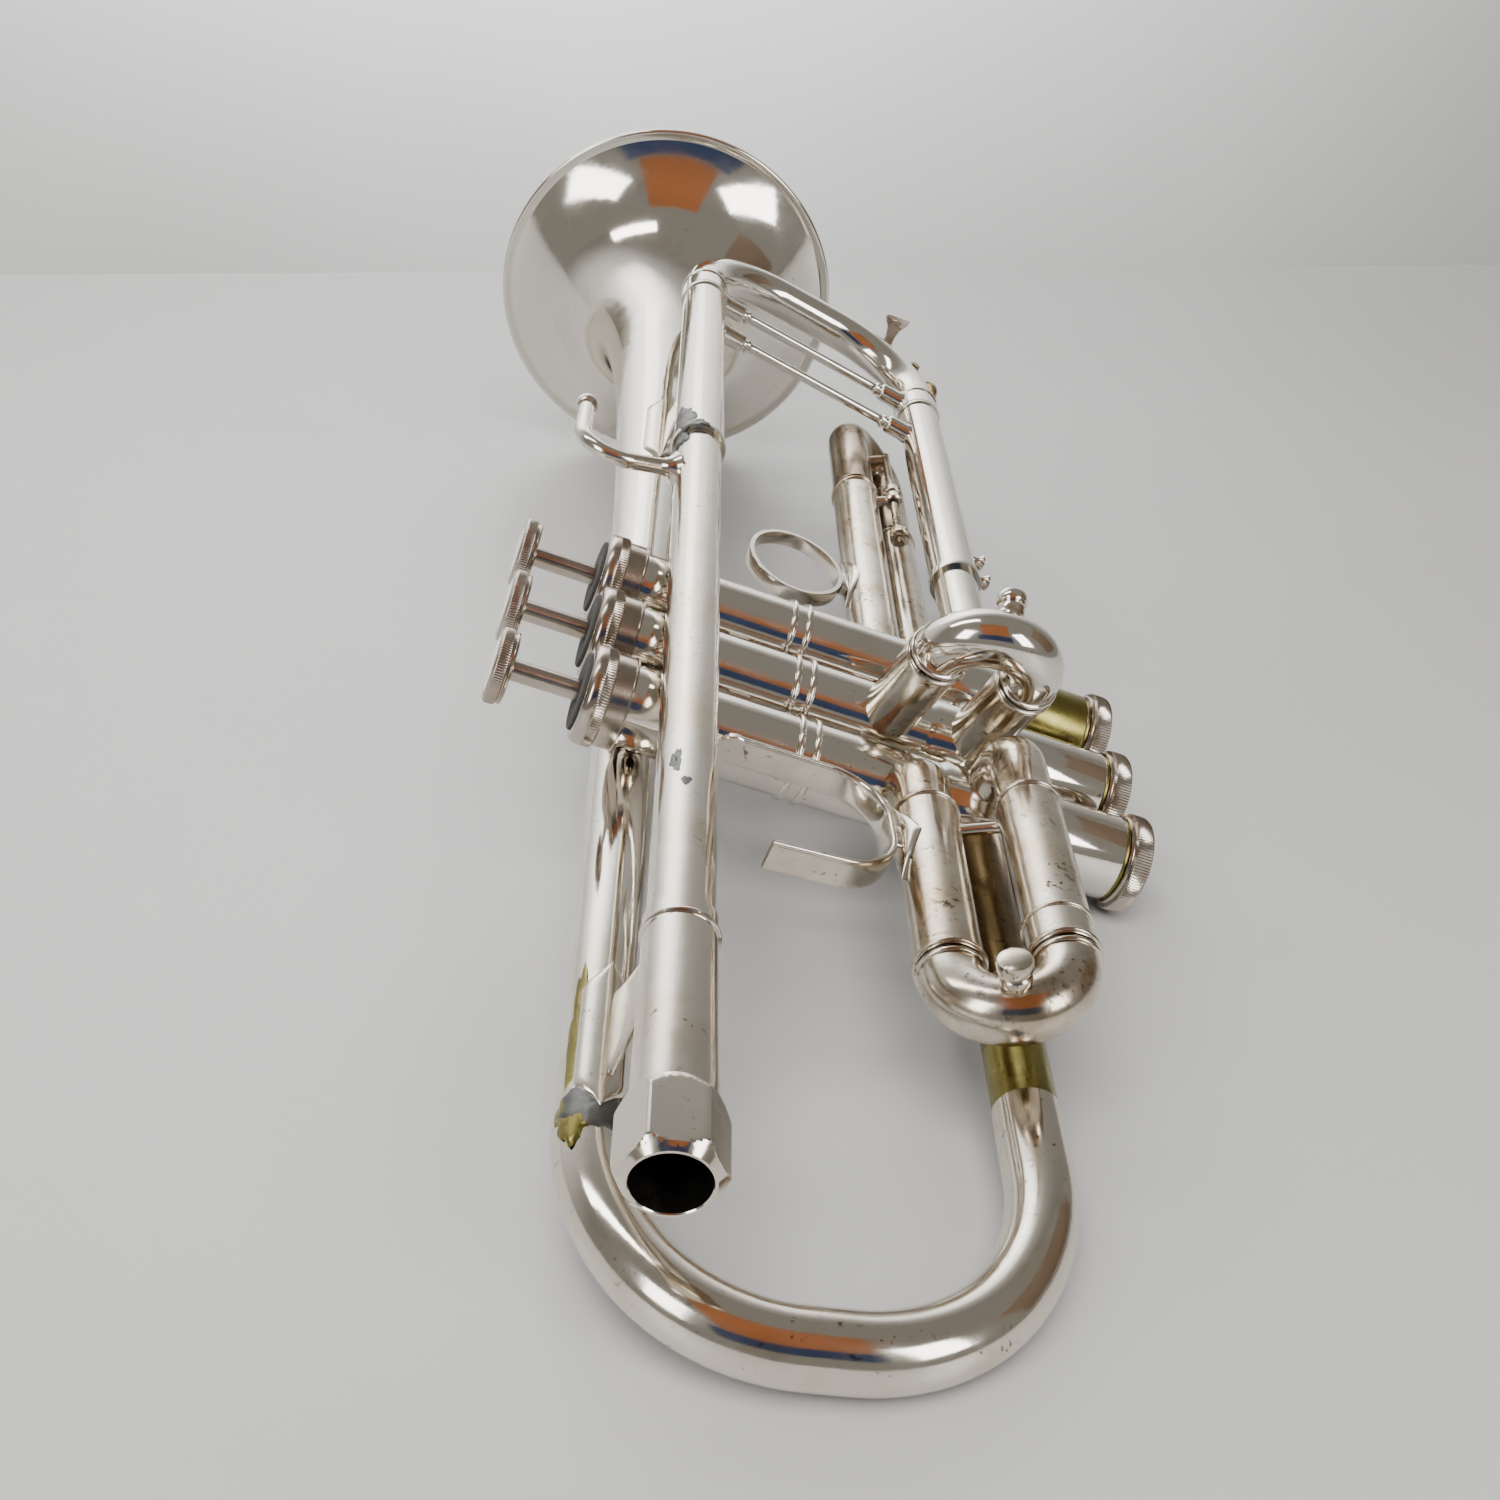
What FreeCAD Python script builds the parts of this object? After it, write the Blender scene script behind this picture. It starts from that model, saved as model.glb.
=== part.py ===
import FreeCAD, Part
import math
import os

# Long-model three-valve cornet, lying on its left side as it is put down on a table.
# Millimetres. The horn is drawn in its own frame and then laid down by one placement.
#   Horn frame: origin on the second valve's axis, level with the leadpipe.
#   +X towards the bottom caps, +Y towards the bell mouth, +Z towards the player's right.
# A point is written (x, y, z). The valves' axes lie in the plane z = 0, along X.

V = FreeCAD.Vector
X_AXIS = V(1, 0, 0)
Y_AXIS = V(0, 1, 0)
Z_AXIS = V(0, 0, 1)

# ---- resting pose: bell rim, bell bow and first bottom cap touch the table ----
REST_PITCH = 6.124            # degrees about X, bell end up
REST_ROLL = 16.377            # degrees about Y, bottom caps down
REST_SHIFT = V(-20.96, -60.30, 45.01)     # puts the bottom centre of the whole horn at the origin

# ---- valves ----
VALVE_PITCH = 26.0
VALVE_Y = [-VALVE_PITCH, 0.0, VALVE_PITCH]
CASING_RADIUS = 9.2
CASING_BORE = 8.35
CASING_TOP = -16.0
CASING_BOTTOM = 110.0
LOWER_CASING_RADIUS = 9.9
LOWER_CASING_X = (62.0, 106.3)
CASING_RING_X = [28.2, 32.0]
CASING_RING_WIRE = 0.7
TOP_CAP_TOP = -19.2
TOP_CAP_RIM_END = -14.0
TOP_CAP_SKIRT = -9.5
TOP_CAP_RADIUS = 11.0
TOP_CAP_ROOF = 2.6
BOTTOM_CAP_START = 107.2
BOTTOM_CAP_END = 113.0
BOTTOM_CAP_FLOOR = 2.0
BOTTOM_CAP_BODY_RADIUS = 10.3
BOTTOM_CAP_RIM_RADIUS = 11.2
BOTTOM_CAP_RIM_START = 108.0
BOTTOM_CAP_RIM_END = 112.3
THREAD_GAP = 0.05
STEM_RADIUS = 2.35
STEM_HOLE_RADIUS = 2.8
BUTTON_UNDERSIDE = -34.8
BUTTON_TOP = -39.0
BUTTON_RADIUS = 8.2
INLAY_RADIUS = 6.6
INLAY_DEPTH = 0.9
CAP_FELT_RADIUS = 8.6
CAP_FELT_DEPTH = 0.8
CAP_FELT_PROUD = 0.7
STEM_FELT_RADIUS = 5.5
STEM_FELT_THICKNESS = 2.8
PISTON_RADIUS = 8.3
PISTON_WALL = 0.7
PISTON_TOP = 30.0
PISTON_BOTTOM = 88.0
BARREL_RADIUS = 7.9
BARREL_WALL = 0.8
BARREL_TOP = -13.5
BARREL_SLOT_TOP = 4.0
BARREL_SLOT_BOTTOM = 24.5
BARREL_SLOT_WIDTH = 5.0
GUIDE_TOP = 20.6
GUIDE_THICKNESS = 2.0
GUIDE_TAB_WIDTH = 4.6
GUIDE_HOLE_RADIUS = 3.0
SPRING_RADIUS = 5.9
SPRING_WIRE = 0.45
SPRING_PITCH = 5.0
SPRING_SIDES = 8            # straight runs in one turn of the coil
SPRING_CLEARANCE = 0.05
KNUCKLE_X = 75.0            # the short tubes from one casing to the next
KNUCKLE_RADIUS = 4.9
WEB_X = (14.0, 46.0)        # flat webs soldered between the casings
WEB_LENGTH = 5.0
WEB_THICKNESS = 3.0
PORT_RADIUS = 5.2           # passages through a piston: where, which way, how wide
PORTS = ((KNUCKLE_X, V(0, 1, 0)), (57.7, V(0, 0.7, -0.7)), (39.0, V(0, 0.7, 0.7)))

# ---- tubing ----
WALL = 0.6
LEADPIPE_RADIUS = 5.95
LEADPIPE_Z = 15.4
LEG_RADIUS = 5.95           # inner slide legs
SLEEVE_BORE = 6.02          # outer slide sleeves
SLEEVE_RADIUS = 6.65
CROOK_RADIUS = 6.3
ELBOW_RADIUS = 6.0
RING_WIRE = 0.55
SLIDE_GAP = 0.6             # between a crook's collar and the sleeve's mouth
CROOK_LEG = 1.4             # straight run of a crook before its bow

# ---- mouthpiece receiver and leadpipe ----
RECEIVER_MOUTH = -171.5
RECEIVER_HEX_END = -156.0
RECEIVER_FRONT = -113.0
RECEIVER_RING = -117.5
RECEIVER_BORE = 5.5
RECEIVER_BORE_LENGTH = 30.0
RECEIVER_THROAT = 4.75      # between the mouthpiece's bore and the leadpipe
RECEIVER_RING_WIRE = 0.8
RECEIVER_HEX_FLAT = 7.7     # half the width across flats
RECEIVER_CHAMFER = 0.7
RECEIVER_SLEEVE_RADIUS = 6.5
LEADPIPE_START = -140.0
LEADPIPE_END = 104.0

# ---- main tuning slide ----
UPPER_SLEEVE_START = 83.0
SLEEVE_MOUTH = 198.0
LOWER_X = 79.7
LOWER_Z = 3.0
LOWER_SLEEVE_START = 82.0
MAIN_LEG_START = 138.0
MAIN_COLLAR_LENGTH = 9.5
MAIN_COLLAR_RADIUS = 6.95
MAIN_BEND_START = 213.0
MAIN_BEND_RADIUS = 30.0
MAIN_BRACE_Y = 205.5
SLEEVE_BRACE_Y = 179.0
STUD_Y = (93.0, 105.0)

# ---- bell and bell bow ----
BELL_X = -4.0
BELL_Z = -17.8
BELL_MOUTH = 289.0
BELL_TAIL = -118.0
BELL_BASE = 4.0             # radius = base + scale / (pole - y)
BELL_SCALE = 1098.0
BELL_POLE = 308.9
BELL_WALL = 0.65
BELL_RIM_WIRE = 1.1
BELL_STATIONS = (-118, -40, 30, 90, 140, 180, 210, 232, 249, 262, 272, 279.5, 284.5, 287.5, 289)
BOW_REAR = -172.0
BOW_CORNER_DEPTH = 25.2     # the bow's two-arc corners: how deep and how wide their slanted chord is
BOW_CORNER_WIDTH = 19.0
BOW_BENDS = (44.0, 33.5, 33.5, 44.0)
BOW_X = 72.8
BOW_Z = -1.9
BOW_VALVE_RADIUS = 6.35
BOW_VALVE_END = -116.0      # where the bow meets the bare brass tube out of the first valve
EXIT_TUBE_RADIUS = 6.1

# ---- braces from the bell up to the receiver and to the upper slide sleeve ----
REAR_BRACE_Y = (-133.5, -97.0)
FRONT_BRACE_Y = (122.0, 162.0)
BRACE_SHEET = 1.6           # thickness of the web between a brace's two flanges

# ---- first valve slide ----
FIRST_LEG_A = (54.4, 10.0)
FIRST_LEG_B = (73.2, 19.7)
FIRST_SLEEVE_START = -48.0
FIRST_SLEEVE_MOUTH = -97.0
FIRST_LEG_START = -60.0
FIRST_COLLAR_Y = -88.5
FIRST_BRACE_Y = -47.0
FIRST_BRACE_LIFT = 5.6
FIRST_BRACE_ROD = 1.3
FIRST_FLANGE_HALF = 4.5     # a pointed flange: half its width, half its length
FIRST_FLANGE_REACH = 8.5

# ---- second valve slide ----
SECOND_X = (51.5, 72.7)
SECOND_LEAN = 28.0          # degrees from Z towards the player
SECOND_SLEEVE_MOUTH = 34.0
SECOND_LEG_START = 13.0

# ---- third valve slide ----
THIRD_LEG_A = (58.3, -8.0)
THIRD_LEG_B = (75.9, -19.8)
THIRD_SLEEVE_START = 47.0
THIRD_SLEEVE_MOUTH = 145.0
THIRD_LEG_START = 95.0
THIRD_BEND_START = 183.0
STOP_ROD = (68.6, -3.2)
STOP_ROD_RADIUS = 1.2
STOP_ROD_START = 112.0
STOP_ROD_END = 173.0
STOP_NUT_Y = (114.0, 142.4)
STOP_GUIDE_Y = 140.0        # the eye on the sleeve that the rod runs through
STOP_LUG_Y = 170.0          # the arm on the crook that carries the rod

# ---- elbows at the casings: how far along Y from the valve's axis each bend's corner is ----
ELBOW_REACH = (10.5, 0.0)   # the leg nearer the buttons, the leg nearer the bottom caps
ELBOW_BEND = 9.0

# ---- hooks and finger ring ----
HOOK_WIRE = 2.1
HOOK_FOOT_Y = 66.5
HOOK_Y = 56.0
HOOK_X = -31.0
HOOK_TIP_Y = 86.5
HOOK_BALL = 3.0
RING_CENTRE = (36.3, 83.3)
RING_HALF_X = 12.6
RING_HALF_Y = 16.0
RING_BAND = 1.5
RING_WIDTH = 5.2
THUMB_STRIP = 1.5
THUMB_WIDTH = 7.0
THUMB_LINE = ((11.5, -46.0), (44.0, -46.0), (45.0, -76.0), (16.0, -78.5))
THUMB_BEND = 12.5
THUMB_FOOT_Y = -61.0
SADDLE_THICKNESS = 1.1      # the plates that hug a sleeve under the ring and the thumb hook
SADDLE_HALF = 5.5

# ---- water key ----
KEY_NIPPLE_ANGLE = 22.0     # degrees round the tuning slide's lower bend
KEY_PIVOT_ANGLE = 40.0
KEY_PIVOT_HEIGHT = 4.0
KEY_TOUCH = V(71.5, 252.0, 3.0)
KEY_POST = (3.4, 1.6, 14.0)     # the finger touch: its post, then the wider head on it
KEY_HEAD = (8.6, 1.6, 3.6)
KEY_CORK_RADIUS = 3.7
KEY_CUP_RADIUS = 4.4
KEY_ARM_RADIUS = 1.2
KEY_HUB_HALF = 2.2
KEY_PIN_RADIUS = 0.8
KEY_LUG_RADIUS = 1.9
KEY_LUG_THICKNESS = 1.1
KEY_SPRING_WIRE = 0.3
DRAIN_RADIUS = 1.3

parts = {}


def cylinder(start, direction, length, radius):
    return Part.makeCylinder(radius, length, start, direction)


def along_x(y, start, end, outer, inner=0.0):
    """A round bar or tube along a valve's axis, from x = start to x = end."""
    bar = cylinder(V(start, y, 0), X_AXIS, end - start, outer)
    if inner:
        bar = bar.cut(cylinder(V(start, y, 0), X_AXIS, end - start, inner))
    return bar


def along_y(x, z, start, end, outer, inner=0.0):
    """A round bar or tube parallel to Y, from y = start to y = end."""
    low, high = min(start, end), max(start, end)
    bar = cylinder(V(x, low, z), Y_AXIS, high - low, outer)
    if inner:
        bar = bar.cut(cylinder(V(x, low, z), Y_AXIS, high - low, inner))
    return bar


def bead(centre, direction, radius, wire=RING_WIRE):
    """A thin half-round ring standing on a tube of the given radius."""
    return Part.makeTorus(radius, wire, centre, direction)


def turned(profile, origin, direction):
    """A turned solid from (radius, height) points along a direction."""
    points = [V(radius, 0, height) for radius, height in profile]
    if profile[0][0] > 0:
        points.insert(0, V(0, 0, profile[0][1]))
    if profile[-1][0] > 0:
        points.append(V(0, 0, profile[-1][1]))
    face = Part.Face(Part.makePolygon(points + [points[0]]))
    solid = face.revolve(V(0, 0, 0), Z_AXIS, 360)
    solid.Placement = FreeCAD.Placement(origin, FreeCAD.Rotation(Z_AXIS, direction))
    return solid


def rounded_path(points, bends):
    """Straight runs joined by tangent arcs, with one radius for all corners or one each."""
    edges = []
    start = points[0]
    if not isinstance(bends, (list, tuple)):
        bends = [bends] * (len(points) - 2)
    for before, corner, after, radius in zip(points, points[1:], points[2:], bends):
        back = (before - corner).normalize()
        ahead = (after - corner).normalize()
        opening = back.getAngle(ahead)
        reach = radius / math.tan(opening / 2)
        middle = (back + ahead).normalize()
        entry = corner + back * reach
        leave = corner + ahead * reach
        apex = corner + middle * (radius / math.sin(opening / 2) - radius)
        if (entry - start).Length > 1e-6:
            edges.append(Part.makeLine(start, entry))
        edges.append(Part.Arc(entry, apex, leave).toShape())
        start = leave
    if (points[-1] - start).Length > 1e-6:
        edges.append(Part.makeLine(start, points[-1]))
    return Part.Wire(edges)


def swept(points, bend, radius):
    """A round bar along a rounded path."""
    path = rounded_path(points, bend)
    circle = Part.Wire([Part.makeCircle(radius, points[0], points[1] - points[0])])
    return path.makePipeShell([circle], True, False)


def tube(points, bend, outer, inner):
    return swept(points, bend, outer).cut(swept(points, bend, inner))


def half_ring(first, second, out, radius):
    """A solid half torus bar joining two parallel legs."""
    centre = (first + second) * 0.5
    reach = (first - second).Length / 2
    arc = Part.Arc(first, centre + out * reach, second).toShape()
    circle = Part.Wire([Part.makeCircle(radius, first, out)])
    return Part.Wire([arc]).makePipeShell([circle], True, False)


def fuse(shapes):
    result = shapes[0]
    for shape in shapes[1:]:
        result = result.fuse(shape)
    return result.removeSplitter()


def casing_bar(y):
    """A casing as a solid bar: two tubes, the lower one a little thicker."""
    return fuse([along_x(y, CASING_TOP, CASING_BOTTOM, CASING_RADIUS),
                 along_x(y, LOWER_CASING_X[0], LOWER_CASING_X[1], LOWER_CASING_RADIUS)])


def knob(base, direction):
    """The small two-step pull knob on a slide crook."""
    profile = [(2.2, -1.2), (2.2, 1.6), (1.7, 2.0), (1.7, 2.6), (3.3, 3.2), (3.3, 5.6), (2.9, 6.1)]
    return turned(profile, base, direction)


def coil_spring(start, height):
    """A coil spring along X: short straight runs round the coil, joined by tangent arcs."""
    step = 2 * math.pi / SPRING_SIDES
    count = int(height / SPRING_PITCH * SPRING_SIDES)
    points = []
    for i in range(count + 1):
        round_coil = V(0, SPRING_RADIUS * math.cos(step * i), SPRING_RADIUS * math.sin(step * i))
        points.append(start + X_AXIS * (height * i / count) + round_coil)
    run = (points[1] - points[0]).Length
    opening = (points[0] - points[1]).getAngle(points[2] - points[1])
    return swept(points, 0.45 * run * math.tan(opening / 2), SPRING_WIRE)


def brace(first, second):
    """A thin rod with turned feet that stands between two tubes."""
    direction = (second - first).normalize()
    length = (second - first).Length
    foot = [(3.4, 0.0), (3.4, 0.7), (2.3, 1.2), (2.7, 2.2), (2.7, 6.5), (2.3, 7.2), (2.6, 7.8), (1.5, 9.0)]
    far_foot = [(radius, length - height) for radius, height in reversed(foot)]
    return turned(foot + far_foot, first, direction)


def elbow_points(x, y_valve, z, reach, end):
    """From the valve's axis out of the casing, then along Y to end."""
    return [V(x, y_valve, 0), V(x, y_valve + reach, z), V(x, end, z)]


bars = [casing_bar(y) for y in VALVE_Y]
bores = []

# ---- mouthpiece receiver ----
receiver_front = [
    (6.9, RECEIVER_HEX_END), (RECEIVER_SLEEVE_RADIUS, RECEIVER_RING - 1.5),
    (RECEIVER_SLEEVE_RADIUS, RECEIVER_RING + 1.5), (6.4, RECEIVER_FRONT),
]
pipe_axis = V(0, 0, LEADPIPE_Z)
receiver_sleeve = turned(receiver_front, pipe_axis, Y_AXIS)
hex_radius = RECEIVER_HEX_FLAT / math.cos(math.radians(30))
corners = []
for i in range(7):
    turn = math.radians(60 * i)
    corners.append(V(hex_radius * math.cos(turn), RECEIVER_MOUTH, LEADPIPE_Z + hex_radius * math.sin(turn)))
hex_nut = Part.Face(Part.makePolygon(corners)).extrude(V(0, RECEIVER_HEX_END - RECEIVER_MOUTH, 0))
hex_turning = turned([(RECEIVER_HEX_FLAT - 0.3, RECEIVER_MOUTH), (hex_radius, RECEIVER_MOUTH + 1.3),
                      (hex_radius, RECEIVER_HEX_END - 1.0), (RECEIVER_HEX_FLAT, RECEIVER_HEX_END)],
                     pipe_axis, Y_AXIS)
receiver_bar = fuse([receiver_sleeve, hex_nut.common(hex_turning),
                     bead(V(0, RECEIVER_RING, LEADPIPE_Z), Y_AXIS, RECEIVER_SLEEVE_RADIUS, RECEIVER_RING_WIRE)])
bore_end = RECEIVER_MOUTH + RECEIVER_BORE_LENGTH
chamfer = turned([(RECEIVER_BORE + RECEIVER_CHAMFER, RECEIVER_MOUTH),
                  (RECEIVER_BORE, RECEIVER_MOUTH + RECEIVER_CHAMFER)], pipe_axis, Y_AXIS)
receiver = receiver_bar
for hollow in (
    chamfer,
    along_y(0, LEADPIPE_Z, RECEIVER_MOUTH, bore_end, RECEIVER_BORE),
    along_y(0, LEADPIPE_Z, RECEIVER_MOUTH, RECEIVER_FRONT, RECEIVER_THROAT),
    along_y(0, LEADPIPE_Z, LEADPIPE_START, RECEIVER_FRONT, LEADPIPE_RADIUS),
):
    receiver = receiver.cut(hollow)
parts["mouthpiece_receiver"] = receiver

parts["leadpipe"] = along_y(0, LEADPIPE_Z, LEADPIPE_START, LEADPIPE_END,
                            LEADPIPE_RADIUS, LEADPIPE_RADIUS - WALL)

# ---- main tuning slide: fixed sleeves ----
main_sleeves = []
for x, z, start in ((0, LEADPIPE_Z, UPPER_SLEEVE_START), (LOWER_X, LOWER_Z, LOWER_SLEEVE_START)):
    sleeve = fuse([
        along_y(x, z, start, SLEEVE_MOUTH, SLEEVE_RADIUS),
        along_y(x, z, start, start + 3.0, SLEEVE_RADIUS + 0.55),
        along_y(x, z, SLEEVE_MOUTH - 1.6, SLEEVE_MOUTH, SLEEVE_RADIUS + 0.5),
    ])
    main_sleeves.append(sleeve.cut(along_y(x, z, start, SLEEVE_MOUTH, SLEEVE_BORE)))
parts["main_slide_sleeves"] = Part.makeCompound(main_sleeves)

entry = along_y(LOWER_X, LOWER_Z, VALVE_Y[2], LOWER_SLEEVE_START + 10, ELBOW_RADIUS, ELBOW_RADIUS - WALL)
bores.append(along_y(LOWER_X, LOWER_Z, VALVE_Y[2], LOWER_SLEEVE_START, ELBOW_RADIUS - WALL))
parts["third_valve_entry_tube"] = entry.cut(bars[2])

cross = (V(LOWER_X, 0, LOWER_Z) - pipe_axis).normalize()
parts["slide_sleeve_brace"] = brace(
    V(0, SLEEVE_BRACE_Y, LEADPIPE_Z) + cross * SLEEVE_RADIUS,
    V(LOWER_X, SLEEVE_BRACE_Y, LOWER_Z) - cross * SLEEVE_RADIUS,
)

# ---- main tuning slide: sliding part ----
bow_start = SLEEVE_MOUTH + SLIDE_GAP
bow_front = MAIN_BEND_START + MAIN_BEND_RADIUS
leg_end = bow_start + MAIN_COLLAR_LENGTH
bow_path = [
    V(0, bow_start, LEADPIPE_Z), V(0, bow_front, LEADPIPE_Z),
    V(LOWER_X, bow_front, LOWER_Z), V(LOWER_X, bow_start, LOWER_Z),
]
bow_legs = ((0, LEADPIPE_Z), (LOWER_X, LOWER_Z))
bow_bar = swept(bow_path, MAIN_BEND_RADIUS, CROOK_RADIUS)
bow_hollow = swept(bow_path, MAIN_BEND_RADIUS, CROOK_RADIUS - WALL)
collars = [along_y(x, z, bow_start, leg_end, MAIN_COLLAR_RADIUS) for x, z in bow_legs]
rings = [bead(V(x, leg_end, z), Y_AXIS, SLEEVE_RADIUS + 0.1) for x, z in bow_legs]
main_bow = fuse([bow_bar] + collars + rings)
for x, z in bow_legs:
    main_bow = main_bow.cut(along_y(x, z, bow_start, leg_end, LEG_RADIUS))

bend_centre = V(LOWER_X, MAIN_BEND_START, LOWER_Z) - cross * MAIN_BEND_RADIUS
bow_normal = cross.cross(Y_AXIS)


def outward(angle):
    """Outward direction at an angle round the lower bend, from the leg towards the front."""
    turn = math.radians(angle)
    return cross * math.cos(turn) + Y_AXIS * math.sin(turn)


nipple_way = outward(KEY_NIPPLE_ANGLE)
nipple_root = bend_centre + nipple_way * (MAIN_BEND_RADIUS + CROOK_RADIUS)
nipple = turned([(2.6, -0.8), (2.6, 0.8), (2.2, 1.6)], nipple_root, nipple_way)
drain = cylinder(nipple_root - nipple_way * 3, nipple_way, 8, DRAIN_RADIUS)
parts["main_slide_bow"] = fuse([main_bow, nipple]).cut(drain).cut(bow_hollow)
parts["main_slide_legs"] = Part.makeCompound([
    along_y(x, z, MAIN_LEG_START, leg_end, LEG_RADIUS, LEG_RADIUS - WALL) for x, z in bow_legs
])
parts["main_slide_brace"] = brace(
    V(0, MAIN_BRACE_Y, LEADPIPE_Z) + cross * MAIN_COLLAR_RADIUS,
    V(LOWER_X, MAIN_BRACE_Y, LOWER_Z) - cross * MAIN_COLLAR_RADIUS,
).cut(fuse(rings))

# ---- water key ----
cork_base = nipple_root + nipple_way * 1.6
pivot_way = outward(KEY_PIVOT_ANGLE)
pivot = bend_centre + pivot_way * (MAIN_BEND_RADIUS + CROOK_RADIUS + KEY_PIVOT_HEIGHT)
cork = turned([(KEY_CORK_RADIUS, 0.0), (KEY_CORK_RADIUS, 2.1)], cork_base, nipple_way)
parts["water_key_cork"] = cork
cup_base = cork_base + nipple_way * 0.5
cup = turned([(KEY_CUP_RADIUS, 0.0), (KEY_CUP_RADIUS, 2.1), (3.2, 2.9), (1.2, 3.2)], cup_base, nipple_way)
cup = cup.cut(turned([(KEY_CORK_RADIUS, -1.0), (KEY_CORK_RADIUS, 1.6)], cup_base, nipple_way))
touch_root = V(KEY_TOUCH.x, KEY_TOUCH.y, pivot.z)
arms = [swept([cup_base + nipple_way * 1.9, pivot], 1.0, KEY_ARM_RADIUS),
        swept([pivot, touch_root], 1.0, KEY_ARM_RADIUS)]
hub = cylinder(pivot - bow_normal * KEY_HUB_HALF, bow_normal, 2 * KEY_HUB_HALF, 2.1)
touch_post = Part.makeBox(*KEY_POST, KEY_TOUCH - V(KEY_POST[0] / 2, KEY_POST[1] / 2, 1.5))
touch_head = Part.makeBox(*KEY_HEAD, KEY_TOUCH + V(-KEY_HEAD[0] / 2, -KEY_HEAD[1] / 2, 12.0))
lever = fuse([cup, hub, Part.makeSphere(KEY_ARM_RADIUS, pivot), touch_post, touch_head] + arms)
pin_hole = cylinder(pivot - bow_normal * 5, bow_normal, 10, KEY_PIN_RADIUS + 0.05)
parts["water_key_lever"] = lever.cut(pin_hole).cut(cork)
lug_height = KEY_PIVOT_HEIGHT + 1.6
lug_across = bow_normal.cross(pivot_way) * (2 * KEY_LUG_RADIUS)
lugs = []
for side in (-1, 1):
    lug_centre = pivot + bow_normal * (side * (KEY_HUB_HALF + 0.1))
    foot = lug_centre - pivot_way * lug_height - lug_across * 0.5
    rail = [foot, foot + lug_across, foot + lug_across + pivot_way * lug_height, foot + pivot_way * lug_height]
    plate = Part.Face(Part.makePolygon(rail + [foot])).extrude(bow_normal * (side * KEY_LUG_THICKNESS))
    eye = cylinder(lug_centre, bow_normal * side, KEY_LUG_THICKNESS, KEY_LUG_RADIUS)
    lugs.append(fuse([eye, plate]).cut(bow_bar).cut(pin_hole))
parts["water_key_saddle"] = Part.makeCompound(lugs)
screw_end = pivot + bow_normal * 3.4
parts["water_key_screw"] = fuse([cylinder(pivot - bow_normal * 3.4, bow_normal, 6.8, KEY_PIN_RADIUS),
                                 cylinder(screw_end, bow_normal, 0.9, 2 * KEY_PIN_RADIUS)])
spring_foot = bend_centre + outward(KEY_PIVOT_ANGLE + 9) * (MAIN_BEND_RADIUS + CROOK_RADIUS + 0.35)
spring_tip = pivot + (touch_root - pivot) * 0.62 - Y_AXIS * 2.8
parts["water_key_spring"] = swept([spring_foot, spring_tip], 1.0, KEY_SPRING_WIRE)


# ---- bell ----
def bell_radius(y):
    return BELL_BASE + BELL_SCALE / (BELL_POLE - y)


outer_line = [V(bell_radius(y), 0, y) for y in BELL_STATIONS]
inner_line = [V(bell_radius(y) - BELL_WALL, 0, y) for y in BELL_STATIONS[:-4]]
inner_line += [V(bell_radius(y) - BELL_WALL, 0, y + 0.2) for y in BELL_STATIONS[-4:-1]]
inner_line.append(V(bell_radius(BELL_MOUTH), 0, BELL_MOUTH + 0.7))
outer_curve = Part.BSplineCurve()
outer_curve.interpolate(outer_line)
inner_curve = Part.BSplineCurve()
inner_curve.interpolate(inner_line)
bell_outline = Part.Wire([
    outer_curve.toShape(), Part.makeLine(outer_line[-1], inner_line[-1]),
    inner_curve.toShape(), Part.makeLine(inner_line[0], outer_line[0]),
])
bell = Part.Face(bell_outline).revolve(V(0, 0, 0), Z_AXIS, 360)
bell = bell.fuse(Part.makeTorus(bell_radius(BELL_MOUTH), BELL_RIM_WIRE, V(0, 0, BELL_MOUTH - 0.4), Z_AXIS))
bell.Placement = FreeCAD.Placement(V(BELL_X, 0, BELL_Z), FreeCAD.Rotation(Z_AXIS, Y_AXIS))
parts["bell"] = bell

# ---- bell bow: grows from the valve side to the bell side ----
tail_radius = bell_radius(BELL_TAIL)
bow_across = (V(BOW_X, 0, BOW_Z) - V(BELL_X, 0, BELL_Z)).normalize() * BOW_CORNER_WIDTH
bow_corner_y = BOW_REAR + BOW_CORNER_DEPTH
bow_points = [
    V(BELL_X, BELL_TAIL, BELL_Z), V(BELL_X, bow_corner_y, BELL_Z),
    V(BELL_X, BOW_REAR, BELL_Z) + bow_across, V(BOW_X, BOW_REAR, BOW_Z) - bow_across,
    V(BOW_X, bow_corner_y, BOW_Z), V(BOW_X, BOW_VALVE_END, BOW_Z),
]


def tapered_bow(shrink):
    """The bow as a solid bar, thinner than its outside by shrink."""
    sweep = Part.BRepOffsetAPI.MakePipeShell(rounded_path(bow_points, BOW_BENDS))
    for point, way, radius in ((bow_points[0], V(0, -1, 0), tail_radius),
                               (bow_points[-1], Y_AXIS, BOW_VALVE_RADIUS)):
        sweep.add(Part.Wire([Part.makeCircle(radius - shrink, point, way)]))
    sweep.build()
    sweep.makeSolid()
    return sweep.shape()


bell_bow_bar = tapered_bow(0)
parts["bell_bow"] = bell_bow_bar.cut(tapered_bow(WALL))
valve_leg = along_y(BOW_X, BOW_Z, BOW_VALVE_END, VALVE_Y[0], EXIT_TUBE_RADIUS, EXIT_TUBE_RADIUS - WALL)
parts["first_valve_exit_tube"] = valve_leg.cut(bars[0])
bores.append(along_y(BOW_X, BOW_Z, BOW_VALVE_END, VALVE_Y[0], EXIT_TUBE_RADIUS - WALL))

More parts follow.
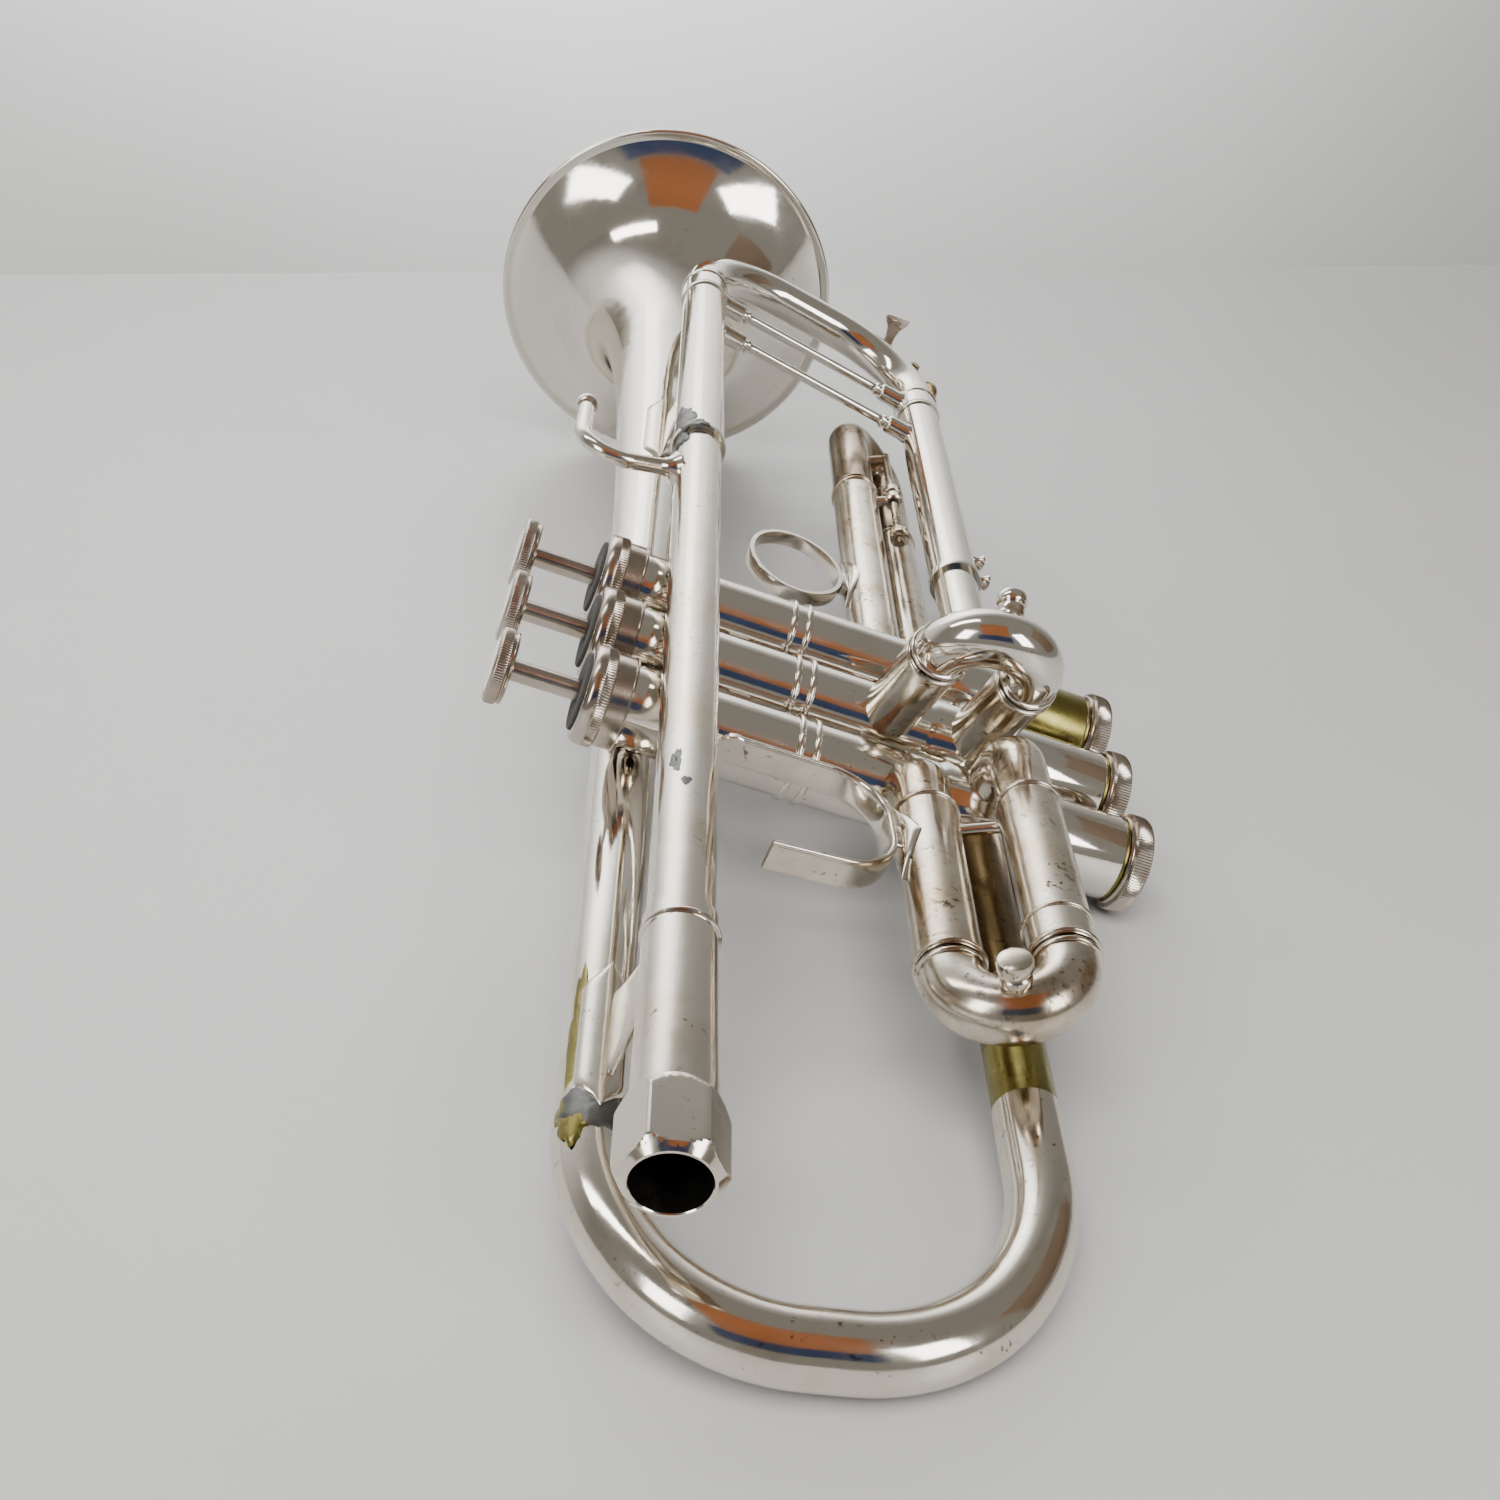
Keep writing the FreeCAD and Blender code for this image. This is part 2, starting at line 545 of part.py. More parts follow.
# ---- braces between the bell and the tubes above it ----
bell_solid = Part.Face(Part.Wire([
    outer_curve.toShape(), Part.makeLine(outer_line[-1], V(0, 0, BELL_MOUTH)),
    Part.makeLine(V(0, 0, BELL_MOUTH), V(0, 0, BELL_TAIL)), Part.makeLine(V(0, 0, BELL_TAIL), outer_line[0]),
])).revolve(V(0, 0, 0), Z_AXIS, 360)
bell_solid.Placement = bell.Placement


def bell_brace(span, pipe_radius):
    """Two curved flanges, hugging the bell and the pipe above it, and a sheet web between them."""
    y_start, y_end = span
    middle = (y_start + y_end) / 2
    half = (y_end - y_start) / 2
    shoulder = half / 2
    outline = [(0, -half), (5, -shoulder), (5, shoulder), (0, half), (-5, shoulder), (-5, -shoulder)]
    outline.append(outline[0])
    diamond = Part.Face(Part.makePolygon([V(BELL_X + x, middle + y, BELL_Z) for x, y in outline]))
    low = along_y(BELL_X, BELL_Z, y_start, y_end, bell_radius(middle) + 1.3)
    low = low.common(diamond.extrude(Z_AXIS * 30))
    high = along_y(0, LEADPIPE_Z, y_start, y_end, pipe_radius + 1.1)
    high_corner = V(-3.5, middle - half * 0.45, LEADPIPE_Z - pipe_radius - 3)
    high = high.common(Part.makeBox(7, half * 0.9, 8, high_corner))
    bell_end, pipe_end = V(BELL_X, middle, BELL_Z), V(0, middle, LEADPIPE_Z)
    web_across = (pipe_end - bell_end).normalize().cross(Y_AXIS) * BRACE_SHEET
    long_half, short_half = Y_AXIS * (half * 0.6), Y_AXIS * (half * 0.4)
    web_outline = [bell_end - long_half, bell_end + long_half, pipe_end + short_half, pipe_end - short_half]
    web = Part.Face(Part.makePolygon(web_outline + [web_outline[0]])).extrude(web_across)
    web.translate(web_across * -0.5)
    pipe_bar = along_y(0, LEADPIPE_Z, y_start - 9, y_end + 9, pipe_radius)
    return fuse([low, high, web]).cut(pipe_bar).cut(bell_solid)


rear_brace = bell_brace(REAR_BRACE_Y, RECEIVER_SLEEVE_RADIUS)
parts["bell_receiver_brace"] = rear_brace.cut(receiver_bar).cut(bell_bow_bar)
parts["bell_sleeve_brace"] = bell_brace(FRONT_BRACE_Y, SLEEVE_RADIUS)


# ---- valve slides ----
def sleeve_tube(x, z, start, mouth_y, collar_y=None):
    """An outer slide sleeve parallel to Y with a bead at each end."""
    side = 1 if mouth_y > start else -1
    shapes = [along_y(x, z, start, mouth_y, SLEEVE_RADIUS),
              bead(V(x, start + side * 0.8, z), Y_AXIS, SLEEVE_RADIUS),
              bead(V(x, mouth_y - side * 0.8, z), Y_AXIS, SLEEVE_RADIUS)]
    if collar_y is not None:
        shapes.append(bead(V(x, collar_y, z), Y_AXIS, SLEEVE_RADIUS))
    return fuse(shapes).cut(along_y(x, z, start, mouth_y, SLEEVE_BORE))


def valve_slide(valve, legs, start, mouth_y, side, collar=None):
    """Elbows out of a casing and the two sleeves soldered on them."""
    elbows = []
    sleeves = []
    for index, (x, z) in enumerate(legs):
        points = elbow_points(x, VALVE_Y[valve], z, side * ELBOW_REACH[index], start + side * 7)
        elbows.append(tube(points, ELBOW_BEND, ELBOW_RADIUS, ELBOW_RADIUS - WALL).cut(bars[valve]))
        bores.append(swept(points, ELBOW_BEND, ELBOW_RADIUS - WALL))
        sleeves.append(sleeve_tube(x, z, start, mouth_y, collar if index == 1 else None))
    return elbows, sleeves


def crook(legs, start, bend, side, leg_start):
    """Inner legs and the bow that joins them, as one soldered piece."""
    first, second = [V(x, bend, z) for x, z in legs]
    out = Y_AXIS * side
    outer = [half_ring(first, second, out, CROOK_RADIUS)]
    inner = [half_ring(first, second, out, CROOK_RADIUS - WALL)]
    for x, z in legs:
        outer.append(along_y(x, z, start, bend, CROOK_RADIUS))
        outer.append(bead(V(x, start + side * 0.9, z), Y_AXIS, CROOK_RADIUS + 0.05))
        outer.append(along_y(x, z, leg_start, start + side * 0.2, LEG_RADIUS))
        inner.append(along_y(x, z, leg_start, bend + side * 0.01, LEG_RADIUS - WALL))
    return outer, inner


def crook_top(legs, bend, side):
    """Middle of a crook's bow and the direction square to its plane."""
    first, second = [V(x, bend, z) for x, z in legs]
    reach = (first - second).Length / 2
    normal = (second - first).cross(Y_AXIS).normalize()
    if normal.z < 0:
        normal = normal * -1
    return (first + second) * 0.5 + Y_AXIS * (side * reach), normal


first_legs = (FIRST_LEG_A, FIRST_LEG_B)
elbows, sleeves = valve_slide(0, first_legs, FIRST_SLEEVE_START, FIRST_SLEEVE_MOUTH, -1, FIRST_COLLAR_Y)
all_elbows = list(elbows)
parts["first_slide_sleeves"] = Part.makeCompound(sleeves)
first_bend = FIRST_SLEEVE_MOUTH - SLIDE_GAP - CROOK_LEG
outer, inner = crook(first_legs, FIRST_SLEEVE_MOUTH - SLIDE_GAP, first_bend, -1, FIRST_LEG_START)
top, normal = crook_top(first_legs, first_bend, -1)
parts["first_slide_crook"] = fuse(outer + [knob(top + normal * CROOK_RADIUS, normal)]).cut(fuse(inner))

leg_a = V(FIRST_LEG_A[0], 0, FIRST_LEG_A[1])
leg_b = V(FIRST_LEG_B[0], 0, FIRST_LEG_B[1])
first_across = (leg_b - leg_a).normalize()
first_normal = first_across.cross(Y_AXIS) * -1
rod_lift = first_normal * FIRST_BRACE_LIFT + Y_AXIS * FIRST_BRACE_Y
brace_solids = [swept([leg_a + rod_lift, leg_b + rod_lift], 1.0, FIRST_BRACE_ROD)]
leg_bars = []
for leg, inward in ((leg_a, 1), (leg_b, -1)):
    middle = leg + Y_AXIS * FIRST_BRACE_Y
    tip = middle - first_across * (inward * FIRST_FLANGE_HALF)
    wide = middle + first_across * (inward * FIRST_FLANGE_HALF)
    reach = Y_AXIS * FIRST_FLANGE_REACH
    drop_outline = [middle - reach, wide - reach * 0.2, wide + reach * 0.15, tip + reach * 0.15, tip - reach * 0.2]
    drop_outline.append(drop_outline[0])
    drop = Part.Face(Part.makePolygon(drop_outline))
    plate_bar = along_y(leg.x, leg.z, FIRST_BRACE_Y - 12, FIRST_BRACE_Y + 12, SLEEVE_RADIUS + 0.9)
    brace_solids.append(plate_bar.common(drop.extrude(first_normal * 12)))
    leg_bars.append(along_y(leg.x, leg.z, FIRST_BRACE_Y - 14, FIRST_BRACE_Y + 14, SLEEVE_RADIUS))
first_brace = fuse(brace_solids)
for solid in leg_bars + elbows + sleeves:
    first_brace = first_brace.cut(solid)
parts["first_slide_brace"] = first_brace

third_legs = (THIRD_LEG_A, THIRD_LEG_B)
elbows, sleeves = valve_slide(2, third_legs, THIRD_SLEEVE_START, THIRD_SLEEVE_MOUTH, 1)
parts["valve_slide_elbows"] = Part.makeCompound(all_elbows + elbows)
outer, inner = crook(third_legs, THIRD_SLEEVE_MOUTH + SLIDE_GAP, THIRD_BEND_START, 1, THIRD_LEG_START)
stop_x, stop_z = STOP_ROD
third_axis = V(THIRD_LEG_A[0], 0, THIRD_LEG_A[1])
rod_axis = V(stop_x, 0, stop_z)
rod_way = (rod_axis - third_axis).normalize()
lug_y = Y_AXIS * STOP_LUG_Y
arm = swept([third_axis + rod_way * (CROOK_RADIUS - 0.5) + lug_y, rod_axis + lug_y], 1.0, 1.5)
stop_rod = along_y(stop_x, stop_z, STOP_ROD_START, STOP_ROD_END, STOP_ROD_RADIUS)
rod_clearance = along_y(stop_x, stop_z, STOP_ROD_START - 1, STOP_ROD_END + 5, STOP_ROD_RADIUS)
parts["third_slide_crook"] = fuse(outer + [arm]).cut(fuse(inner)).cut(rod_clearance)
parts["third_slide_stop_rod"] = stop_rod
nut_profile = [(2.0, 0.0), (2.9, 0.6), (2.9, 3.4), (2.0, 4.0)]
parts["third_slide_stop_nuts"] = Part.makeCompound([
    turned(nut_profile, V(stop_x, y, stop_z), Y_AXIS).cut(rod_clearance) for y in STOP_NUT_Y
])
guide_y = Y_AXIS * STOP_GUIDE_Y
guide_post = swept([third_axis + rod_way * (SLEEVE_RADIUS - 0.3) + guide_y, rod_axis + guide_y], 1.0, 1.6)
eye_span = (STOP_GUIDE_Y - 2, STOP_GUIDE_Y + 2)
guide_eye = fuse([guide_post, along_y(stop_x, stop_z, *eye_span, 2.6)])
guide_eye = guide_eye.cut(along_y(stop_x, stop_z, 130, 150, STOP_ROD_RADIUS + 0.3))
guide_eye = guide_eye.cut(along_y(*THIRD_LEG_A, 130, 150, SLEEVE_RADIUS - 0.3))
parts["third_slide_sleeves"] = Part.makeCompound([fuse([sleeves[0], guide_eye]), sleeves[1]])

# ---- second valve slide, leaning towards the player ----
lean = math.radians(SECOND_LEAN)
second_way = V(0, -math.sin(lean), math.cos(lean))
second_sleeves = []
for x in SECOND_X:
    root = V(x, 0, 0)
    sleeve_parts = [cylinder(root, second_way, SECOND_SLEEVE_MOUTH, SLEEVE_RADIUS),
                    bead(root + second_way * (SECOND_SLEEVE_MOUTH - 0.8), second_way, SLEEVE_RADIUS)]
    hollow = cylinder(root, second_way, SECOND_SLEEVE_MOUTH, SLEEVE_BORE)
    second_sleeves.append(fuse(sleeve_parts).cut(hollow).cut(bars[1]))
    bores.append(cylinder(root, second_way, 14, ELBOW_RADIUS - WALL))
parts["second_slide_sleeves"] = Part.makeCompound(second_sleeves)
crook_start = SECOND_SLEEVE_MOUTH + SLIDE_GAP
bow_root = crook_start + CROOK_LEG
ends = [V(x, 0, 0) + second_way * bow_root for x in SECOND_X]
outer = [half_ring(ends[0], ends[1], second_way, CROOK_RADIUS)]
inner = [half_ring(ends[0], ends[1], second_way, CROOK_RADIUS - WALL)]
for x in SECOND_X:
    root = V(x, 0, 0)
    leg_root = root + second_way * SECOND_LEG_START
    leg_length = crook_start + 0.2 - SECOND_LEG_START
    outer.append(cylinder(root + second_way * crook_start, second_way, CROOK_LEG, CROOK_RADIUS))
    outer.append(bead(root + second_way * (crook_start + 0.9), second_way, CROOK_RADIUS + 0.05))
    outer.append(cylinder(leg_root, second_way, leg_length, LEG_RADIUS))
    inner.append(cylinder(leg_root, second_way, bow_root + 0.01 - SECOND_LEG_START, LEG_RADIUS - WALL))
knob_way = X_AXIS.cross(second_way) * -1
second_top = (ends[0] + ends[1]) * 0.5 + second_way * ((SECOND_X[1] - SECOND_X[0]) / 2)
outer.append(knob(second_top + knob_way * CROOK_RADIUS, knob_way))
parts["second_slide_crook"] = fuse(outer).cut(fuse(inner))


# ---- valves ----
def port_holes(valve):
    """Where this casing is open to its tubes and to its neighbours."""
    return [bore for bore in bores if bore.common(bars[valve]).Volume > 1.0]


knuckles = []
for left, right in ((0, 1), (1, 2)):
    start = VALVE_Y[left]
    link = along_y(KNUCKLE_X, 0, start, VALVE_Y[right], KNUCKLE_RADIUS, KNUCKLE_RADIUS - WALL)
    link = link.cut(bars[left]).cut(bars[right])
    for x in SECOND_X:
        link = link.cut(cylinder(V(x, 0, 0), second_way, SECOND_SLEEVE_MOUTH, SLEEVE_RADIUS))
    knuckles.append(link)
    bores.append(along_y(KNUCKLE_X, 0, start, VALVE_Y[right], KNUCKLE_RADIUS - WALL))
    for x in WEB_X:
        web = Part.makeBox(WEB_LENGTH, VALVE_PITCH, WEB_THICKNESS, V(x, start, -WEB_THICKNESS / 2))
        knuckles.append(web.cut(bars[left]).cut(bars[right]))
parts["valve_knuckles"] = Part.makeCompound(knuckles)

top_caps = []
bottom_caps = []
cap_felts = []
guides = []
for number, y in enumerate(VALVE_Y, start=1):
    casing = fuse([casing_bar(y)]
                  + [bead(V(x, y, 0), X_AXIS, CASING_RADIUS, CASING_RING_WIRE) for x in CASING_RING_X])
    casing = casing.cut(along_x(y, CASING_TOP, CASING_BOTTOM, CASING_BORE))
    for hole in port_holes(number - 1):
        casing = casing.cut(hole)
    parts["valve_casing_%d" % number] = casing

    cap = fuse([along_x(y, TOP_CAP_TOP + 0.6, TOP_CAP_RIM_END, TOP_CAP_RADIUS),
                along_x(y, TOP_CAP_TOP, TOP_CAP_SKIRT, TOP_CAP_RADIUS - 0.7)])
    roof = TOP_CAP_TOP + TOP_CAP_ROOF
    cap = cap.cut(along_x(y, roof, TOP_CAP_SKIRT, CASING_RADIUS + THREAD_GAP))
    cap = cap.cut(along_x(y, TOP_CAP_TOP, TOP_CAP_TOP + CAP_FELT_DEPTH, CAP_FELT_RADIUS))
    top_caps.append(cap.cut(along_x(y, TOP_CAP_TOP, roof, STEM_HOLE_RADIUS)))
    cap_felts.append(along_x(y, TOP_CAP_TOP - CAP_FELT_PROUD, TOP_CAP_TOP + CAP_FELT_DEPTH,
                             CAP_FELT_RADIUS, STEM_HOLE_RADIUS))

    cap = fuse([along_x(y, BOTTOM_CAP_START, BOTTOM_CAP_END - 0.8, BOTTOM_CAP_BODY_RADIUS),
                along_x(y, BOTTOM_CAP_END - 0.8, BOTTOM_CAP_END, BOTTOM_CAP_BODY_RADIUS - 1.0),
                along_x(y, BOTTOM_CAP_RIM_START, BOTTOM_CAP_RIM_END, BOTTOM_CAP_RIM_RADIUS)])
    cap = cap.cut(along_x(y, BOTTOM_CAP_START, CASING_BOTTOM, CASING_RADIUS + THREAD_GAP))
    cap = cap.cut(along_x(y, CASING_BOTTOM, BOTTOM_CAP_END - BOTTOM_CAP_FLOOR, CASING_BORE + 0.1))
    bottom_caps.append(cap.cut(along_x(y, BOTTOM_CAP_END - 3, BOTTOM_CAP_END, 1.6)))

    shell = along_x(y, PISTON_TOP, PISTON_BOTTOM, PISTON_RADIUS, PISTON_RADIUS - PISTON_WALL)
    ends_of_piston = [along_x(y, PISTON_TOP, PISTON_TOP + 0.8, PISTON_RADIUS),
                      along_x(y, PISTON_BOTTOM - 0.8, PISTON_BOTTOM, PISTON_RADIUS, 3.0)]
    envelope = along_x(y, PISTON_TOP, PISTON_BOTTOM, PISTON_RADIUS)
    port_bars = []
    port_bores = []
    for x, way in PORTS:
        port_bars.append(cylinder(V(x, y, 0) - way * 12, way, 24, PORT_RADIUS + 0.5).common(envelope))
        port_bores.append(cylinder(V(x, y, 0) - way * 12, way, 24, PORT_RADIUS))
    barrel = along_x(y, BARREL_TOP, PISTON_TOP, BARREL_RADIUS, BARREL_RADIUS - BARREL_WALL)
    barrel_top = along_x(y, BARREL_TOP, BARREL_TOP + 1.2, BARREL_RADIUS, STEM_RADIUS)
    slot = Part.makeBox(BARREL_SLOT_BOTTOM - BARREL_SLOT_TOP, 24, BARREL_SLOT_WIDTH,
                        V(BARREL_SLOT_TOP, y - 12, -BARREL_SLOT_WIDTH / 2))
    piston = fuse([shell] + ends_of_piston + port_bars + [barrel, barrel_top]).cut(slot)
    for bore in port_bores:
        piston = piston.cut(bore)
    parts["piston_%d" % number] = piston

    guide = fuse([along_x(y, GUIDE_TOP, GUIDE_TOP + GUIDE_THICKNESS, BARREL_RADIUS - BARREL_WALL - 0.2),
                  Part.makeBox(GUIDE_THICKNESS, 2 * CASING_BORE, GUIDE_TAB_WIDTH,
                               V(GUIDE_TOP, y - CASING_BORE, -GUIDE_TAB_WIDTH / 2))])
    guide = guide.common(along_x(y, GUIDE_TOP, GUIDE_TOP + GUIDE_THICKNESS, CASING_BORE))
    guides.append(guide.cut(along_x(y, GUIDE_TOP, GUIDE_TOP + GUIDE_THICKNESS, GUIDE_HOLE_RADIUS)))

    coil_start = BARREL_TOP + 1.2 + SPRING_WIRE + SPRING_CLEARANCE
    coil_height = GUIDE_TOP - SPRING_WIRE - SPRING_CLEARANCE - coil_start
    parts["valve_spring_%d" % number] = coil_spring(V(coil_start, y, 0), coil_height)

    parts["valve_stem_%d" % number] = along_x(y, BUTTON_TOP + 1.4, BARREL_TOP + 1.2, STEM_RADIUS)
    parts["stem_felt_%d" % number] = along_x(y, BARREL_TOP - STEM_FELT_THICKNESS, BARREL_TOP, STEM_FELT_RADIUS,
                                             STEM_RADIUS)
    button = fuse([along_x(y, BUTTON_TOP + 0.4, BUTTON_UNDERSIDE - 0.4, BUTTON_RADIUS),
                   along_x(y, BUTTON_TOP, BUTTON_UNDERSIDE, BUTTON_RADIUS - 0.5)])
    button = button.cut(along_x(y, BUTTON_TOP, BUTTON_TOP + INLAY_DEPTH, INLAY_RADIUS))
    stem_seat = along_x(y, BUTTON_TOP + 1.4, BUTTON_UNDERSIDE, STEM_RADIUS)
    parts["finger_button_%d" % number] = button.cut(stem_seat)
    parts["button_inlay_%d" % number] = turned(
        [(INLAY_RADIUS, 0.0), (INLAY_RADIUS, 0.8), (INLAY_RADIUS - 1.6, 1.15), (2.0, 1.3)],
        V(BUTTON_TOP + INLAY_DEPTH, y, 0), V(-1, 0, 0))
parts["top_caps"] = Part.makeCompound(top_caps)
parts["bottom_caps"] = Part.makeCompound(bottom_caps)
parts["cap_felts"] = Part.makeCompound(cap_felts)
parts["valve_guides"] = Part.makeCompound(guides)

# ---- pinky hook on the leadpipe ----
hook_path = [V(-LEADPIPE_RADIUS + 0.4, HOOK_FOOT_Y, LEADPIPE_Z), V(HOOK_X, HOOK_Y, LEADPIPE_Z),
             V(HOOK_X, HOOK_TIP_Y, LEADPIPE_Z)]
hook = fuse([swept(hook_path, 10.0, HOOK_WIRE), Part.makeSphere(HOOK_BALL, hook_path[-1]),
             turned([(4.2, 0.0), (4.2, 1.0), (2.4, 3.4)],
                    hook_path[0], (hook_path[1] - hook_path[0]).normalize())])
parts["pinky_hook"] = hook.cut(along_y(0, LEADPIPE_Z, 40, 90, LEADPIPE_RADIUS))

# ---- finger ring on the third slide's upper sleeve ----
ring_x, ring_y = RING_CENTRE
ring_z = THIRD_LEG_A[1]


def oval(half_x, half_y):
    """An oval block as high as the ring's band is wide."""
    curve = Part.Ellipse(V(0, 0, 0), max(half_x, half_y), min(half_x, half_y)).toShape()
    face = Part.Face(Part.Wire([curve]))
    face.rotate(V(0, 0, 0), Z_AXIS, 90 if half_y > half_x else 0)
    face.translate(V(ring_x, ring_y, ring_z - RING_WIDTH / 2))
    return face.extrude(V(0, 0, RING_WIDTH))


def sleeve_plate(leg, y, outline):
    """A thin plate hugging the button side of a sleeve. Outline: (along Y, share of the half width)."""
    x, z = leg
    reach = max(abs(along) for along, _ in outline)
    hug = along_y(x, z, y - reach, y + reach, SLEEVE_RADIUS + SADDLE_THICKNESS)
    points = [V(0, y + along, z + share * SADDLE_HALF) for along, share in outline]
    face = Part.Face(Part.makePolygon(points + [points[0]]))
    return hug.common(face.extrude(X_AXIS * (x - 1.5)))


band = oval(RING_HALF_X + RING_BAND, RING_HALF_Y + RING_BAND)
ring_foot_x = THIRD_LEG_A[0] - SLEEVE_RADIUS
neck = Part.makeBox(ring_foot_x + 1.0 - (ring_x + RING_HALF_X), 9.0, 4.0,
                    V(ring_x + RING_HALF_X, ring_y - 4.5, ring_z - 2.0))
ring_plate = sleeve_plate(THIRD_LEG_A, ring_y, [(-13, 0), (-5, 1), (5, 1), (13, 0), (5, -1), (-5, -1)])
whole_ring = fuse([band, neck, ring_plate]).cut(oval(RING_HALF_X, RING_HALF_Y))
parts["finger_ring"] = whole_ring.cut(along_y(*THIRD_LEG_A, ring_y - 20, ring_y + 20, SLEEVE_RADIUS))

# ---- thumb hook on the first slide's upper sleeve ----
thumb_z = FIRST_LEG_A[1]
thumb_path = rounded_path([V(x, y, thumb_z) for x, y in THUMB_LINE], THUMB_BEND)
thumb_x, thumb_y = THUMB_LINE[0]
half_strip, half_width = THUMB_STRIP / 2, THUMB_WIDTH / 2
strip_corners = [
    V(thumb_x, thumb_y + a, thumb_z + b)
    for a, b in ((-half_strip, -half_width), (half_strip, -half_width), (half_strip, half_width),
                 (-half_strip, half_width), (-half_strip, -half_width))
]
strip = thumb_path.makePipeShell([Part.makePolygon(strip_corners)], True, False)
thumb_plate = sleeve_plate(FIRST_LEG_A, THUMB_FOOT_Y, [(-12, 0), (0, 1), (12, 0), (0, -1)])
neck_corner = V(FIRST_LEG_A[0] - SLEEVE_RADIUS - 3.2, THUMB_FOOT_Y - 3.5, thumb_z - 2.0)
thumb_neck = Part.makeBox(4.0, 7.0, 4.0, neck_corner)
thumb = fuse([strip, thumb_plate, thumb_neck])
parts["thumb_hook"] = thumb.cut(along_y(*FIRST_LEG_A, THUMB_FOOT_Y - 20, THUMB_FOOT_Y + 20, SLEEVE_RADIUS))

# ---- two small turned studs on the lower sleeve ----
stud_profile = [(2.4, -1.0), (2.4, 0.9), (1.3, 1.7), (1.3, 3.2), (2.3, 4.6), (2.3, 5.3)]
studs = [turned(stud_profile, V(LOWER_X + SLEEVE_RADIUS - 0.2, y, LOWER_Z - 1.0), X_AXIS) for y in STUD_Y]
lower_sleeve_bar = along_y(LOWER_X, LOWER_Z, LOWER_SLEEVE_START, SLEEVE_MOUTH, SLEEVE_RADIUS)
parts["sleeve_studs"] = Part.makeCompound([stud.cut(lower_sleeve_bar) for stud in studs])

# ---- lay the horn down and write every piece ----
rest_turn = FreeCAD.Rotation(X_AXIS, REST_PITCH) * FreeCAD.Rotation(Y_AXIS, REST_ROLL)
rest = FreeCAD.Placement(REST_SHIFT, rest_turn)

if __name__ == "__main__":
    os.makedirs("parts", exist_ok=True)
    for name, shape in parts.items():
        laid = shape.copy()
        laid.Placement = rest.multiply(laid.Placement)
        laid.exportStep(os.path.join("parts", name + ".step"))
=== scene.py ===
import math

import bmesh
import bpy
from mathutils import Matrix, Vector


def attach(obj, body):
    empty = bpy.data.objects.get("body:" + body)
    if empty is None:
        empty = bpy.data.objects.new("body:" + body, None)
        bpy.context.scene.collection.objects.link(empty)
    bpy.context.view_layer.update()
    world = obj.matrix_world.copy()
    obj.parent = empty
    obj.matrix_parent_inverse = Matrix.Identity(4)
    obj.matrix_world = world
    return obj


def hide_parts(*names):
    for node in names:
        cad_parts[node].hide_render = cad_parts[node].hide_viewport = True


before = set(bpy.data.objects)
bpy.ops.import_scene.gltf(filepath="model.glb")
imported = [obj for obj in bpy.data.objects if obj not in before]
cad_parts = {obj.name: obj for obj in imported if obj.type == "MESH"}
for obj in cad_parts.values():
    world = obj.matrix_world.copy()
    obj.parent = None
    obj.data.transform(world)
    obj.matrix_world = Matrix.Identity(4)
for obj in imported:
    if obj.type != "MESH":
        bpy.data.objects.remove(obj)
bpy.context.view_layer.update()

# The cornet's looks. Every length is in millimetres in the horn's own frame, as in the CAD source:
#   +X towards the bottom caps, +Y towards the bell mouth, +Z towards the player's right.
# place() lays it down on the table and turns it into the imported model's metres.

MM = 0.001
HORN = (Matrix.Translation(Vector((-20.96, -60.30, 45.01)))
        @ Matrix.Rotation(math.radians(6.124), 4, "X")
        @ Matrix.Rotation(math.radians(16.377), 4, "Y"))

X, Y, Z = Vector((1, 0, 0)), Vector((0, 1, 0)), Vector((0, 0, 1))

VALVE_Y = (-26.0, 0.0, 26.0)
LEADPIPE_Z = 15.4
LEADPIPE_RADIUS = 5.95
SLEEVE_RADIUS = 6.65
CROOK_RADIUS = 6.3
ELBOW_RADIUS = 6.0
WALL = 0.6
SLEEVE_BORE = 6.02
INNER_LEG_RADIUS = 5.95
INNER_LEG_BORE = 5.35
LOWER_LEG = Vector((79.7, 0, 3.0))
UPPER_LEG = Vector((0, 0, LEADPIPE_Z))
SLEEVE_MOUTH = 198.0
BOW_FRONT = 243.0           # where the tuning bow's straight legs meet their corner
BOW_BEND = 30.0             # radius of the tuning bow
NIPPLE_ANGLE = 22           # of the water hole, from the line between the legs
BOW_LEG = Vector((72.8, 0, -1.9))
BELL_AXIS = Vector((-4.0, 0, -17.8))
BELL_TAIL = -118.0
BELL_MOUTH = 289.0
BELL_THROAT = 4.0           # the bell's radius is BELL_THROAT + BELL_FLARE / (BELL_POLE - y)
BELL_FLARE = 1098.0
BELL_POLE = 308.9
EXIT_TUBE = (6.1, 5.5)      # outer and inner radius
FIRST_LEGS = (Vector((54.4, 0, 10.0)), Vector((73.2, 0, 19.7)))
THIRD_LEGS = (Vector((58.3, 0, -8.0)), Vector((75.9, 0, -19.8)))
SECOND_X = (51.5, 72.7)
SECOND_WAY = Vector((0, -math.sin(math.radians(28)), math.cos(math.radians(28))))
FIRST_START, FIRST_MOUTH = -48.0, -97.0
THIRD_START, THIRD_MOUTH, THIRD_BOW = 47.0, 145.0, 183.0
STOP_ROD = Vector((68.6, 0, -3.2))
CASING_RADIUS = 9.2
BARREL_RADIUS = 9.9         # of the casing's wider lower part


def place(point):
    """A horn-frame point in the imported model's frame, in metres."""
    return (HORN @ Vector(point)) * MM


# ---------------------------------------------------------------- mesh tools

def basis(direction):
    """Two unit vectors square to a direction."""
    way = Vector(direction).normalized()
    helper = X if abs(way.x) < 0.9 else Z
    side = way.cross(helper).normalized()
    return way, side, way.cross(side)


